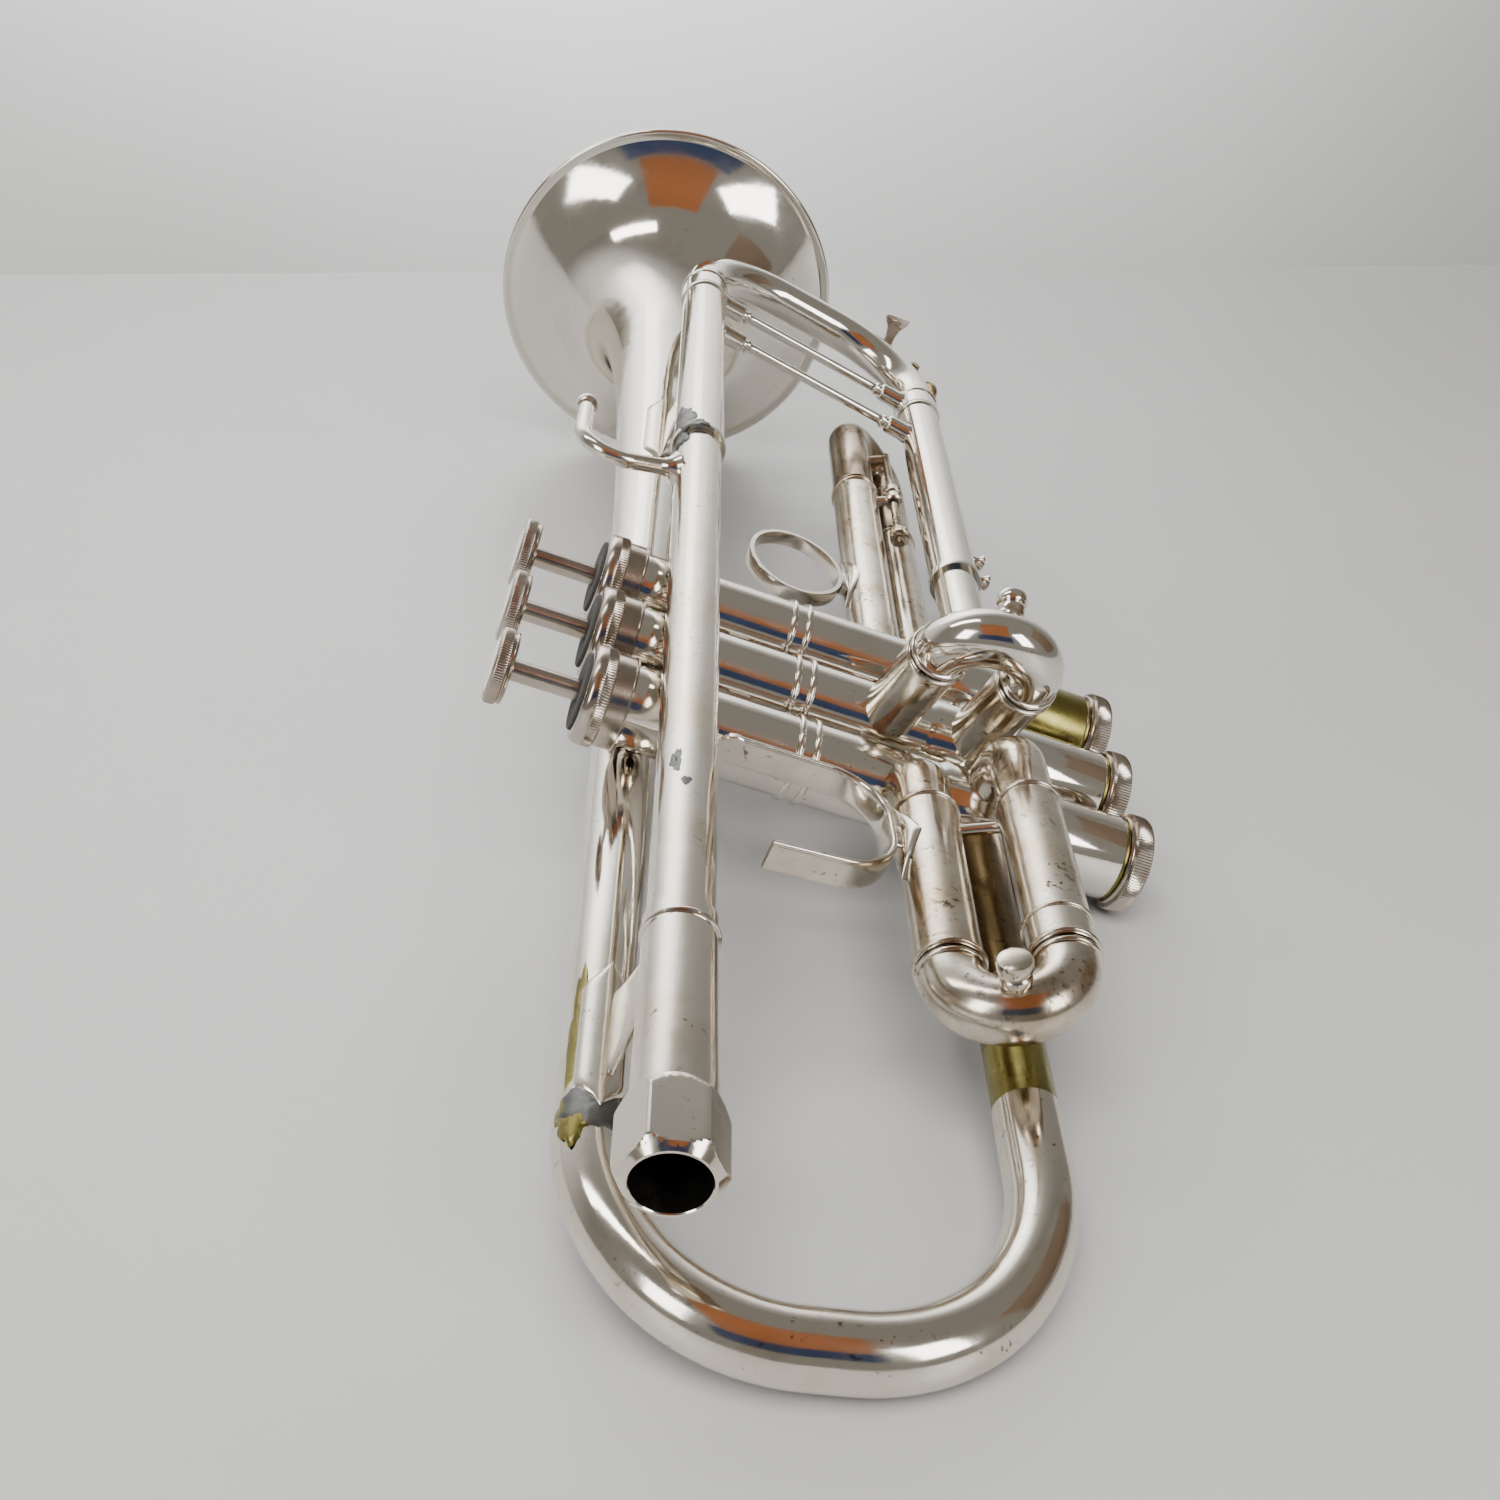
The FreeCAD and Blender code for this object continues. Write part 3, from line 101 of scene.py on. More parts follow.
def skin(rings, loop=False):
    """Faces between equal rings of points, one after another."""
    count = len(rings[0])
    points = [p for ring in rings for p in ring]
    pairs = [(i, i + 1) for i in range(len(rings) - 1)]
    if loop:
        pairs.append((len(rings) - 1, 0))
    faces = []
    for a, b in pairs:
        for j in range(count):
            k = (j + 1) % count
            faces.append((a * count + j, a * count + k, b * count + k, b * count + j))
    return points, faces


def closed(rings):
    """The rings with both ends drawn to a point."""
    count = len(rings[0])
    first, last = (sum(ring, Vector()) / count for ring in (rings[0], rings[-1]))
    return [[first] * count, *rings, [last] * count]


def lathe(profile, origin, axis, segments=72, loop=False, ripple=None):
    """Turns (radius, height) points round an axis. ripple(angle, height) adds to the radius."""
    way, side, up = basis(axis)
    rings = []
    for radius, height in profile:
        ring = []
        for j in range(segments):
            angle = 2 * math.pi * j / segments
            r = radius + (ripple(angle, height) if ripple and radius else 0.0)
            ring.append(Vector(origin) + way * height + (side * math.cos(angle) + up * math.sin(angle)) * r)
        rings.append(ring)
    return skin(rings, loop)


def tube_profile(outer, inner, start, end, edge=0.12):
    """Closed outline of a plain tube with softened lips."""
    return [(outer, start + edge), (outer, end - edge), (outer - edge, end), (inner, end), (inner, start),
            (outer - edge, start)]


def meet_casing(shape, valve_y):
    """Shapes the end of a tube that runs along Y to the round casing it meets."""
    meeting_radius = CASING_RADIUS + 0.15
    points, faces = shape
    for point in points:
        reach = math.sqrt(max(meeting_radius ** 2 - point.z ** 2, 0.0))
        if abs(point.y - valve_y) < reach:
            point.y = valve_y + math.copysign(reach, point.y - valve_y)
    return points, faces


def path_stations(points, bends, arc_step=4.0, run_step=6.0):
    """Positions and directions along straight runs joined by tangent arcs."""
    points = [Vector(p) for p in points]
    if not isinstance(bends, (list, tuple)):
        bends = [bends] * (len(points) - 2)
    stations = []
    start = points[0]

    def straight(a, b):
        length = (b - a).length
        if length < 1e-6:
            return
        count = max(1, round(length / run_step))
        for i in range(count + 1):
            stations.append((a.lerp(b, i / count), (b - a).normalized()))

    for before, corner, after, radius in zip(points, points[1:], points[2:], bends):
        back = (before - corner).normalized()
        ahead = (after - corner).normalized()
        half = back.angle(ahead) / 2
        entry = corner + back * (radius / math.tan(half))
        centre = corner + (back + ahead).normalized() * (radius / math.sin(half))
        straight(start, entry)
        turn = math.pi - 2 * half
        count = max(3, math.ceil(math.degrees(turn) / arc_step))
        out = (entry - centre).normalized()
        for i in range(1, count):
            angle = turn * i / count
            stations.append((centre + (out * math.cos(angle) - back * math.sin(angle)) * radius,
                             -back * math.cos(angle) - out * math.sin(angle)))
        start = corner + ahead * (radius / math.tan(half))
    straight(start, points[-1])
    return stations


def sweep(points, bends, radius, segments=48, wall=None):
    """A round bar, or a tube with a wall, along a path. radius may be a function of 0 to 1 along it."""
    stations = path_stations(points, bends)
    size = radius if callable(radius) else (lambda t: radius)
    lengths = [0.0]
    for a, b in zip(stations, stations[1:]):
        lengths.append(lengths[-1] + (b[0] - a[0]).length)
    _, side, _ = basis(stations[0][1])
    frames = []
    for (centre, way), travelled in zip(stations, lengths):
        side = (side - way * side.dot(way)).normalized()
        frames.append((centre, side.copy(), way.cross(side), size(travelled / lengths[-1])))

    def ring(station, shrink):
        centre, side, up, r = station
        return [centre + (side * math.cos(a) + up * math.sin(a)) * max(r - shrink, 0)
                for a in (2 * math.pi * j / segments for j in range(segments))]

    outer = [ring(f, 0) for f in frames]
    if wall is None:
        return skin([ring(frames[0], 1e6)] + outer + [ring(frames[-1], 1e6)])
    return skin(outer + [ring(f, wall) for f in reversed(frames)], loop=True)


def ball(centre, radius):
    profile = [(radius * math.sin(a), -radius * math.cos(a)) for a in (math.pi * i / 16 for i in range(17))]
    return lathe(profile, centre, Z, 32)


def bead(centre, axis, radius, wire=0.55):
    """A half-round ring on a tube."""
    profile = [(radius + wire * math.cos(a), wire * math.sin(a))
               for a in (math.pi * i / 8 for i in range(-8, 8))]
    return lathe(profile, centre, axis, 72, loop=True)


def saddle(leg, radius, thickness, start, end, facing, outline):
    """A thin plate that hugs a tube parallel to Y. outline(t) is its half width at t from 0 to 1.
    radius may be a function of y."""
    facing_angle = math.radians(facing)
    size = radius if callable(radius) else (lambda y: radius)
    rows, across = 28, 12
    rings = []
    for i in range(rows + 1):
        t = i / rows
        y = start + (end - start) * t
        here = size(y)
        half = max(outline(t), 0.02) / here
        outer, inner = [], []
        for j in range(across + 1):
            share = 2 * j / across - 1
            angle = facing_angle + half * share
            lift = thickness * (1 - abs(share) ** 6 * 0.75)
            for r, row in ((here + lift, outer), (here - 0.3, inner)):
                row.append(Vector((leg.x + r * math.cos(angle), y, leg.z + r * math.sin(angle))))
        rings.append(outer + list(reversed(inner)))
    return skin(rings)


def ribbon(points, bends, width, thickness, wide):
    """A flat strip with rounded edges along a path; wide is the direction of its width."""
    outline = []
    count = 24
    for i in range(count):
        a = 2 * math.pi * i / count
        c, s = math.cos(a), math.sin(a)
        outline.append((math.copysign(abs(c) ** 0.35, c) * width / 2,
                        math.copysign(abs(s) ** 0.7, s) * thickness / 2))
    rings = []
    for centre, way in path_stations(points, bends):
        flat = way.cross(Vector(wide)).normalized()
        rings.append([centre + Vector(wide) * w + flat * t for w, t in outline])
    return skin(closed(rings))


def build(name, shapes, material, body="horn", stands_for=(), crease=38.0):
    """One object from several shapes. A shape may be (points, faces) or (points, faces, material index)."""
    mesh = bpy.data.meshes.new(name)
    points, faces, indices = [], [], []
    for shape in shapes:
        offset = len(points)
        points += [place(p) for p in shape[0]]
        faces += [tuple(i + offset for i in face) for face in shape[1]]
        indices += [shape[2] if len(shape) > 2 else 0] * len(shape[1])
    mesh.from_pydata(points, [], faces)
    for polygon, index in zip(mesh.polygons, indices):
        polygon.material_index = index
    work = bmesh.new()
    work.from_mesh(mesh)
    bmesh.ops.remove_doubles(work, verts=work.verts, dist=1e-6)
    bmesh.ops.dissolve_degenerate(work, edges=work.edges, dist=1e-7)
    bmesh.ops.recalc_face_normals(work, faces=work.faces)
    work.to_mesh(mesh)
    work.free()
    mesh.shade_smooth()
    mesh.set_sharp_from_angle(angle=math.radians(crease))
    for m in (material if isinstance(material, (list, tuple)) else [material]):
        mesh.materials.append(m)
    piece = bpy.data.objects.new(name, mesh)
    bpy.context.scene.collection.objects.link(piece)
    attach(piece, body)
    if stands_for:
        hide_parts(*stands_for)


# ---------------------------------------------------------------- materials

def new_material(name):
    material = bpy.data.materials.new(name)
    material.use_nodes = True
    nodes = material.node_tree.nodes
    return material, nodes, material.node_tree.links, nodes["Principled BSDF"]


def noise(nodes, links, scale, detail=3.0, rough=0.55, stretch=None):
    """A noise value over the object's own coordinates, in metres."""
    where = nodes.new("ShaderNodeTexCoord")
    texture = nodes.new("ShaderNodeTexNoise")
    texture.inputs["Scale"].default_value = scale
    texture.inputs["Detail"].default_value = detail
    texture.inputs["Roughness"].default_value = rough
    if stretch:
        mapping = nodes.new("ShaderNodeMapping")
        mapping.inputs["Scale"].default_value = stretch
        links.new(where.outputs["Object"], mapping.inputs["Vector"])
        links.new(mapping.outputs["Vector"], texture.inputs["Vector"])
    else:
        links.new(where.outputs["Object"], texture.inputs["Vector"])
    return texture.outputs["Fac"]


def ramp(nodes, links, value, stops):
    """A colour ramp; each stop is (position, colour or grey)."""
    node = nodes.new("ShaderNodeValToRGB")
    elements = node.color_ramp.elements
    while len(elements) < len(stops):
        elements.new(0.5)
    for element, (position, colour) in zip(elements, stops):
        element.position = position
        rgb = colour if isinstance(colour, tuple) else (colour, colour, colour)
        element.color = (*rgb, 1.0)
    links.new(value, node.inputs["Fac"])
    return node.outputs["Color"]


def mix(nodes, links, factor, first, second):
    """Mixes two colours; each is a socket or a tuple."""
    node = nodes.new("ShaderNodeMix")
    node.data_type = "RGBA"
    for socket, value in ((node.inputs[0], factor), (node.inputs[6], first), (node.inputs[7], second)):
        if isinstance(value, tuple):
            socket.default_value = (*value, 1.0)
        elif isinstance(value, float):
            socket.default_value = value
        else:
            links.new(value, socket)
    return node.outputs[2]


def bump(nodes, links, shader, height, strength, distance):
    node = nodes.new("ShaderNodeBump")
    node.inputs["Strength"].default_value = strength
    node.inputs["Distance"].default_value = distance
    links.new(height, node.inputs["Height"])
    links.new(node.outputs["Normal"], shader.inputs["Normal"])


def plated(name, clean, stain, speck, stain_from, speck_from, gloss):
    """A metal skin: cloudy stains, fine dark specks, and a faintly uneven surface."""
    material, nodes, links, shader = new_material(name)
    clouds = noise(nodes, links, 55.0, 5.0, 0.62)
    grains = noise(nodes, links, 750.0, 2.0, 0.5)
    patches = noise(nodes, links, 120.0, 4.0, 0.6)
    cloudy = ramp(nodes, links, clouds, [(stain_from, 0.0), (stain_from + 0.22, 1.0)])
    stained = mix(nodes, links, cloudy, clean, stain)
    specks = ramp(nodes, links, grains, [(speck_from, 0.0), (speck_from + 0.06, 1.0)])
    region = ramp(nodes, links, patches, [(0.48, 0.0), (0.66, 1.0)])
    both = mix(nodes, links, region, (0.0, 0.0, 0.0), specks)
    colour = mix(nodes, links, both, stained, speck)
    links.new(colour, shader.inputs["Base Color"])
    shader.inputs["Metallic"].default_value = 1.0
    links.new(ramp(nodes, links, patches, [(0.35, gloss[0]), (0.75, gloss[1])]), shader.inputs["Roughness"])
    bump(nodes, links, shader, noise(nodes, links, 260.0, 3.0), 0.10, 0.0002)
    return material


# Each finish: its clean colour, stain colour and speck colour, where stains and specks begin, and its gloss.
SILVER = plated("silver_plate", (0.76, 0.70, 0.61), (0.62, 0.53, 0.405), (0.18, 0.125, 0.08),
                0.50, 0.64, (0.09, 0.19))
SILVER_BRIGHT = plated("silver_bright", (0.81, 0.765, 0.685), (0.71, 0.645, 0.54), (0.28, 0.20, 0.13),
                       0.56, 0.69, (0.07, 0.14))
SILVER_STAINED = plated("silver_stained", (0.70, 0.635, 0.54), (0.44, 0.345, 0.23), (0.09, 0.06, 0.035),
                        0.44, 0.57, (0.14, 0.28))
# A darker copy of the silver with painted shade over its stains, for the third slide's crook, stop rod and
# nuts that lie in shadow.
SILVER_PAINTED_SHADE = plated("silver_painted_shade", (0.46, 0.375, 0.28), (0.21, 0.145, 0.085), (0.06, 0.04, 0.025),
                     0.40, 0.54, (0.16, 0.32))
WORN = plated("worn_plate", (0.54, 0.475, 0.41), (0.40, 0.32, 0.25), (0.20, 0.15, 0.11),
              0.47, 0.70, (0.15, 0.26))
BRASS = plated("bare_brass", (0.27, 0.235, 0.07), (0.17, 0.135, 0.04), (0.10, 0.075, 0.02),
               0.44, 0.66, (0.22, 0.40))
# A darker copy of bare brass with painted shade.
BRASS_PAINTED_SHADE = plated("bare_brass_painted_shade", (0.17, 0.115, 0.05), (0.10, 0.065, 0.025), (0.05, 0.03, 0.015),
                    0.44, 0.62, (0.22, 0.42))
GILT = plated("gilt_wear", (0.62, 0.49, 0.32), (0.46, 0.33, 0.18), (0.20, 0.13, 0.07),
              0.46, 0.66, (0.16, 0.30))
SOLDER = plated("grey_solder", (0.155, 0.155, 0.15), (0.09, 0.088, 0.085), (0.05, 0.045, 0.04),
                0.40, 0.52, (0.42, 0.6))
BORE = plated("bore_metal", (0.10, 0.092, 0.08), (0.045, 0.04, 0.033), (0.015, 0.013, 0.01),
              0.40, 0.52, (0.35, 0.55))


def felt_material():
    material, nodes, links, shader = new_material("black_felt")
    fibres = noise(nodes, links, 2600.0, 4.0, 0.7)
    links.new(ramp(nodes, links, fibres, [(0.3, (0.012, 0.011, 0.011)), (0.8, (0.07, 0.065, 0.06))]),
              shader.inputs["Base Color"])
    shader.inputs["Roughness"].default_value = 0.95
    shader.inputs["Sheen Weight"].default_value = 0.05
    bump(nodes, links, shader, fibres, 0.8, 0.0004)
    return material


def cork_material():
    material, nodes, links, shader = new_material("key_cork")
    grains = noise(nodes, links, 1400.0, 3.0, 0.65)
    links.new(ramp(nodes, links, grains, [(0.35, (0.26, 0.15, 0.07)), (0.5, (0.62, 0.42, 0.22)),
                                          (0.75, (0.75, 0.55, 0.32))]), shader.inputs["Base Color"])
    shader.inputs["Roughness"].default_value = 0.85
    bump(nodes, links, shader, grains, 0.6, 0.0003)
    return material


def pearl_material():
    material, nodes, links, shader = new_material("pearl_inlay")
    bands = noise(nodes, links, 260.0, 4.0, 0.6, (1.0, 0.35, 1.0))
    links.new(ramp(nodes, links, bands, [(0.3, (0.80, 0.72, 0.50)), (0.5, (0.88, 0.85, 0.72)),
                                         (0.7, (0.82, 0.88, 0.84))]), shader.inputs["Base Color"])
    shader.inputs["Roughness"].default_value = 0.22
    shader.inputs["Coat Weight"].default_value = 0.6
    bump(nodes, links, shader, bands, 0.15, 0.0002)
    return material


FELT = felt_material()
CORK = cork_material()
PEARL = pearl_material()

# ---------------------------------------------------------------- leadpipe and receiver

def round_ring(radius, y, segments):
    """A circle round the leadpipe's axis."""
    return [Vector((radius * math.cos(a), y, LEADPIPE_Z + radius * math.sin(a)))
            for a in (2 * math.pi * j / segments for j in range(segments))]


def receiver():
    """The mouthpiece receiver: a hexagon chamfered at both ends, then a plain sleeve with a ring."""
    flat, start, end = 7.7, -171.5, -156.0
    corner = flat / math.cos(math.radians(30))
    mouth_radius, mouth_slope = 6.75, 0.95
    shoulder_radius, shoulder_slope = 6.95, 0.62
    sixth = math.pi / 3
    turn = math.radians(12)
    segments, rows = 144, 40
    rings = []
    for i in range(rows + 1):
        y = start + (end - start) * i / rows
        near = mouth_radius + (y - start) * mouth_slope
        far = shoulder_radius + (end - y) * shoulder_slope
        ring = []
        for j in range(segments):
            a = 2 * math.pi * j / segments
            local = (a - turn + sixth / 2) % sixth - sixth / 2
            r = min(flat / math.cos(sixth / 2 - abs(local)), corner - 0.1, near, far)
            ring.append(Vector((r * math.cos(a), y, LEADPIPE_Z + r * math.sin(a))))
        rings.append(ring)
    sleeve = ((shoulder_radius, end + 0.8), (6.7, -140.0), (6.5, -119.0), (6.5, -113.2), (6.3, -113.0),
              (LEADPIPE_RADIUS, -113.0))
    rings += [round_ring(radius, y, segments) for radius, y in sleeve]
    taper = ((6.32, start), (6.15, start + 0.2), (5.75, start + 7), (5.5, start + 29), (4.8, start + 31),
             (4.7, -113.0))
    bore = [round_ring(radius, y, segments) for radius, y in taper]
    outside = skin(rings)
    lip = skin([rings[0], bore[0], bore[1]])
    inside = (*skin(bore[1:]), 1)
    inner_end = skin([rings[-1], bore[-1]])
    shapes = [outside, lip, inside, inner_end, bead((0, -117.5, LEADPIPE_Z), Y, 6.5)]
    build("mouthpiece_receiver_skin", shapes, [SILVER, BORE], stands_for=["mouthpiece_receiver"], crease=14)


def leadpipe():
    profile = tube_profile(LEADPIPE_RADIUS, LEADPIPE_RADIUS - WALL, -140.0, 104.0)
    build("leadpipe_skin", [lathe(profile, UPPER_LEG, Y, loop=True)], SILVER, stands_for=["leadpipe"])


# ---------------------------------------------------------------- main tuning slide

def sleeve_profile(start, end, first_collar, last_collar):
    """Outline of a main slide sleeve, with a raised ring at each end."""
    outer = SLEEVE_RADIUS
    ring = outer + 0.5
    inner_edge, last_edge = start + first_collar, end - last_collar
    return [(outer - 0.1, start), (ring - 0.1, start), (ring, start + 0.3), (ring, inner_edge - 0.3),
            (ring - 0.25, inner_edge), (outer, inner_edge), (outer, last_edge), (ring - 0.15, last_edge),
            (ring, last_edge + 0.3), (ring, end - 0.3), (ring - 0.25, end), (SLEEVE_BORE, end),
            (SLEEVE_BORE, start)]


def main_sleeves():
    upper = lathe(sleeve_profile(83.0, SLEEVE_MOUTH, 2.4, 1.6), UPPER_LEG, Y, loop=True)
    lower = lathe(sleeve_profile(82.0, SLEEVE_MOUTH, 3.0, 1.6), LOWER_LEG, Y, loop=True)
    build("main_slide_sleeves_skin", [upper, lower], SILVER_BRIGHT, stands_for=["main_slide_sleeves"])
    entry = lathe(tube_profile(ELBOW_RADIUS, ELBOW_RADIUS - WALL, 33.0, 92.0), LOWER_LEG, Y, loop=True)
    entry = meet_casing(entry, VALVE_Y[2])
    build("third_valve_entry_skin", [entry], SILVER, stands_for=["third_valve_entry_tube"])


def turned_brace(first, second):
    """A rod with turned feet, from one point to another."""
    way = (second - first).normalized()
    length = (second - first).length
    foot = [(0.0, -0.6), (3.15, -0.6), (3.15, 0.5), (2.85, 0.9), (2.85, 6.6), (2.5, 7.2), (1.75, 7.6),
            (1.7, 8.1), (2.3, 8.5), (2.3, 9.1), (1.7, 9.5), (1.5, 10.0), (1.45, 11.5)]
    other = [(radius, length - height) for radius, height in reversed(foot)]
    return lathe(foot + other, first, way, 48)


def bow_outward(angle):
    """The direction out of the tuning bow's lower corner, at an angle in degrees from straight across."""
    across = (LOWER_LEG - UPPER_LEG).normalized()
    return across * math.cos(math.radians(angle)) + Y * math.sin(math.radians(angle))


def bow_surface(angle, height):
    """A point at some height over the outside of the tuning bow's lower corner."""
    centre = LOWER_LEG + Y * (BOW_FRONT - BOW_BEND) - bow_outward(0) * BOW_BEND
    return centre + bow_outward(angle) * (BOW_BEND + CROOK_RADIUS + height)


def main_slide_bow():
    """The tuning bow with its two collars and the water nipple, and the braces on both sides of the joint."""
    across = bow_outward(0)
    start = SLEEVE_MOUTH + 0.6
    collar_radius = 6.95
    path = [UPPER_LEG + Y * start, UPPER_LEG + Y * BOW_FRONT,
            LOWER_LEG + Y * BOW_FRONT, LOWER_LEG + Y * start]
    shapes = [sweep(path, BOW_BEND, CROOK_RADIUS, 56, wall=WALL)]
    collar = [(6.75, 0.0), (collar_radius, 0.25), (collar_radius, 8.6), (7.2, 8.8), (7.35, 9.4), (7.2, 10.0),
              (6.8, 10.2), (6.2, 10.4), (5.95, 9.5), (5.95, 0.0)]
    shapes += [lathe(collar, leg + Y * start, Y, loop=True) for leg in (UPPER_LEG, LOWER_LEG)]
    nipple = [(2.6, -0.8), (2.6, 0.6), (2.2, 1.5), (1.3, 1.5), (1.3, -0.8)]
    shapes.append(lathe(nipple, bow_surface(NIPPLE_ANGLE, 0), bow_outward(NIPPLE_ANGLE), 32, loop=True))
    build("main_slide_bow_skin", shapes, SILVER_BRIGHT, "main_tuning_slide", ["main_slide_bow"])
    for name, body, y, radius in (("slide_sleeve_brace", "horn", 179.0, SLEEVE_RADIUS),
                                  ("main_slide_brace", "main_tuning_slide", 205.5, collar_radius)):
        rod = turned_brace(UPPER_LEG + Y * y + across * radius, LOWER_LEG + Y * y - across * radius)
        build(name + "_skin", [rod], SILVER_BRIGHT, body, [name])


# ---------------------------------------------------------------- bell and bow

def bell_radius(y):
    return BELL_THROAT + BELL_FLARE / (BELL_POLE - y)


def bell():
    """The flared bell: outside, rolled rim and inside in one outline."""
    wall, rim_wall = 0.62, 0.775
    rim_start = 270.0           # the wall thickens from here to the rim
    wire = 1.1
    count = 110
    length = BELL_MOUTH - 0.9 - BELL_TAIL
    stations = [BELL_TAIL + length * (1 - (1 - i / count) ** 1.9) for i in range(count + 1)]
    outer = [(bell_radius(y), y) for y in stations]
    rim = bell_radius(BELL_MOUTH)
    rolled_rim = [(rim + wire * math.cos(a), BELL_MOUTH - 0.4 + wire * math.sin(a))
                  for a in (math.radians(d) for d in range(-110, 171, 20))]
    inner = []
    for y in reversed(stations):
        if y < rim_start:
            inner.append((bell_radius(y) - wall, y))
        else:
            inner.append((bell_radius(y) - rim_wall, y + 0.25))
    shape = lathe(outer + rolled_rim + inner, BELL_AXIS, Y, 160, loop=True)
    build("bell_skin", [shape], SILVER_BRIGHT, stands_for=["bell"], crease=60)


def bell_bow():
    """The long bow behind the bell, and the bare tube that joins it to the first casing."""
    across = (BOW_LEG - BELL_AXIS).normalized() * 19.0
    corner_y, rear, valve_end = -146.8, -172.0, -116.0
    wide_bend, tight_bend, bow_radius = 44.0, 33.5, 6.35
    path = [BELL_AXIS + Y * BELL_TAIL, BELL_AXIS + Y * corner_y, BELL_AXIS + Y * rear + across,
            BOW_LEG + Y * rear - across, BOW_LEG + Y * corner_y, BOW_LEG + Y * valve_end]
    tail = bell_radius(BELL_TAIL)
    tube = sweep(path, [wide_bend, tight_bend, tight_bend, wide_bend],
                 lambda t: tail + (bow_radius - tail) * t, 64, wall=WALL)
    build("bell_bow_skin", [tube], SILVER, stands_for=["bell_bow"])
    # From shade_start to the casing, the exit tube takes the brass with painted shade, for the shadow between
    # the first slide's sleeves.
    shade_start, casing_end = -101.0, -33.2
    open_part = lathe(tube_profile(*EXIT_TUBE, valve_end, shade_start, 0.02), BOW_LEG, Y, loop=True)
    shaded_part = lathe(tube_profile(*EXIT_TUBE, shade_start, casing_end, 0.02), BOW_LEG, Y, loop=True)
    shapes = [open_part, (*meet_casing(shaded_part, VALVE_Y[0]), 1)]
    build("first_valve_exit_skin", shapes, [BRASS, BRASS_PAINTED_SHADE], stands_for=["first_valve_exit_tube"])


def bell_brace(span, pipe_radius, lean):
    """A pointed plate on the bell, a sheet web up to the pipe, and a small plate under the pipe."""
    start, end = span
    middle = (start + end) / 2
    half = (end - start) / 2
    radius = bell_radius(middle)
    low = saddle(BELL_AXIS, lambda y: max(bell_radius(y), 6.57), 1.2, start, end, 86 + lean,
                 lambda t: 4.9 * min(1.0, 2.4 * math.sin(math.pi * t) ** 1.2))
    high = saddle(UPPER_LEG, pipe_radius, 1.0, middle - half * 0.5, middle + half * 0.5, 263,
                  lambda t: 3.6 * math.sin(math.pi * t) ** 0.35)
    bell_end, pipe_end = BELL_AXIS + Y * middle, UPPER_LEG + Y * middle
    up = (pipe_end - bell_end).normalized()
    across = up.cross(Y)
    rise = (pipe_end - bell_end).length
    half_sheet = 0.85
    overlap = 0.4               # the web sinks this far into the plate at each end
    rows, count = 14, 24
    rings = []
    for i in range(rows + 1):
        s = i / rows
        height = radius - overlap + (rise - pipe_radius - radius + 2 * overlap) * s
        reach = half * (0.62 - 0.22 * s) * (1 - 0.16 * math.sin(math.pi * s))
        ring = []
        for j in range(count):
            a = 2 * math.pi * j / count
            c, d = math.cos(a), math.sin(a)
            along = math.copysign(abs(c) ** 0.3, c) * reach
            aside = math.copysign(abs(d) ** 0.6, d) * half_sheet
            ring.append(bell_end + up * height + Y * along + across * aside)
        rings.append(ring)
    return [low, high, skin(rings)]


def bell_braces():
    rear = bell_brace((-133.5, -97.0), 6.5, 8)
    build("bell_receiver_brace_skin", rear, SILVER, stands_for=["bell_receiver_brace"], crease=30)
    front = bell_brace((122.0, 162.0), SLEEVE_RADIUS, 6)
    build("bell_sleeve_brace_skin", front, SILVER, stands_for=["bell_sleeve_brace"], crease=30)


def blob(leg, radius, y, angle, length, width, seed, thickness=0.28):
    """A thin ragged smear of solder or bare metal on a tube parallel to Y."""
    rings = []
    count, rows = 40, 7
    for i in range(rows + 1):
        share = i / rows
        sunk = 0.25 if i == rows else 0
        lift = thickness * (1 - share ** 4) + 0.05 - sunk
        ring = []
        for j in range(count):
            a = 2 * math.pi * j / count
            ragged = (1 + 0.16 * math.sin(3 * a + seed) + 0.10 * math.sin(7 * a + 2.3 * seed)
                      + 0.07 * math.sin(13 * a + seed))
            along = math.cos(a) * length / 2 * ragged * share
            around = math.radians(angle) + math.sin(a) * width / 2 * ragged * share / radius
            size = radius + lift + 0.05 * math.sin(5 * a + 9 * share + seed)
            ring.append(Vector((leg.x + size * math.cos(around), y + along, leg.z + size * math.sin(around))))
        rings.append(ring)
    return skin(rings)


def blemishes():
    """Old solder at the joints and places where the plating has gone."""
    solder = [
        blob(UPPER_LEG, SLEEVE_RADIUS, 91.0, 152, 17.0, 8.0, 0.4),
        blob(UPPER_LEG, SLEEVE_RADIUS + 0.45, 84.4, 118, 4.0, 9.0, 1.9),
        blob(UPPER_LEG, LEADPIPE_RADIUS, 80.5, 158, 9.0, 6.0, 2.2, 0.5),
        blob(BELL_AXIS, 6.6, -131.5, 100, 13.0, 13.0, 2.6, 0.55),
        blob(UPPER_LEG, LEADPIPE_RADIUS, -72.0, 128, 8.0, 2.6, 3.3, 0.06),
        blob(UPPER_LEG, LEADPIPE_RADIUS, -79.0, 108, 3.0, 2.2, 5.1, 0.06),
    ]
    build("old_solder", solder, SOLDER)
    bare = [
        blob(BELL_AXIS, 6.75, -113.0, 137, 31.0, 4.6, 1.2, 0.10),
        blob(BELL_AXIS, 6.6, -134.0, 134, 12.0, 8.0, 4.4, 0.3),
    ]
    build("bare_patches", bare, BRASS)


# ---------------------------------------------------------------- valve slides

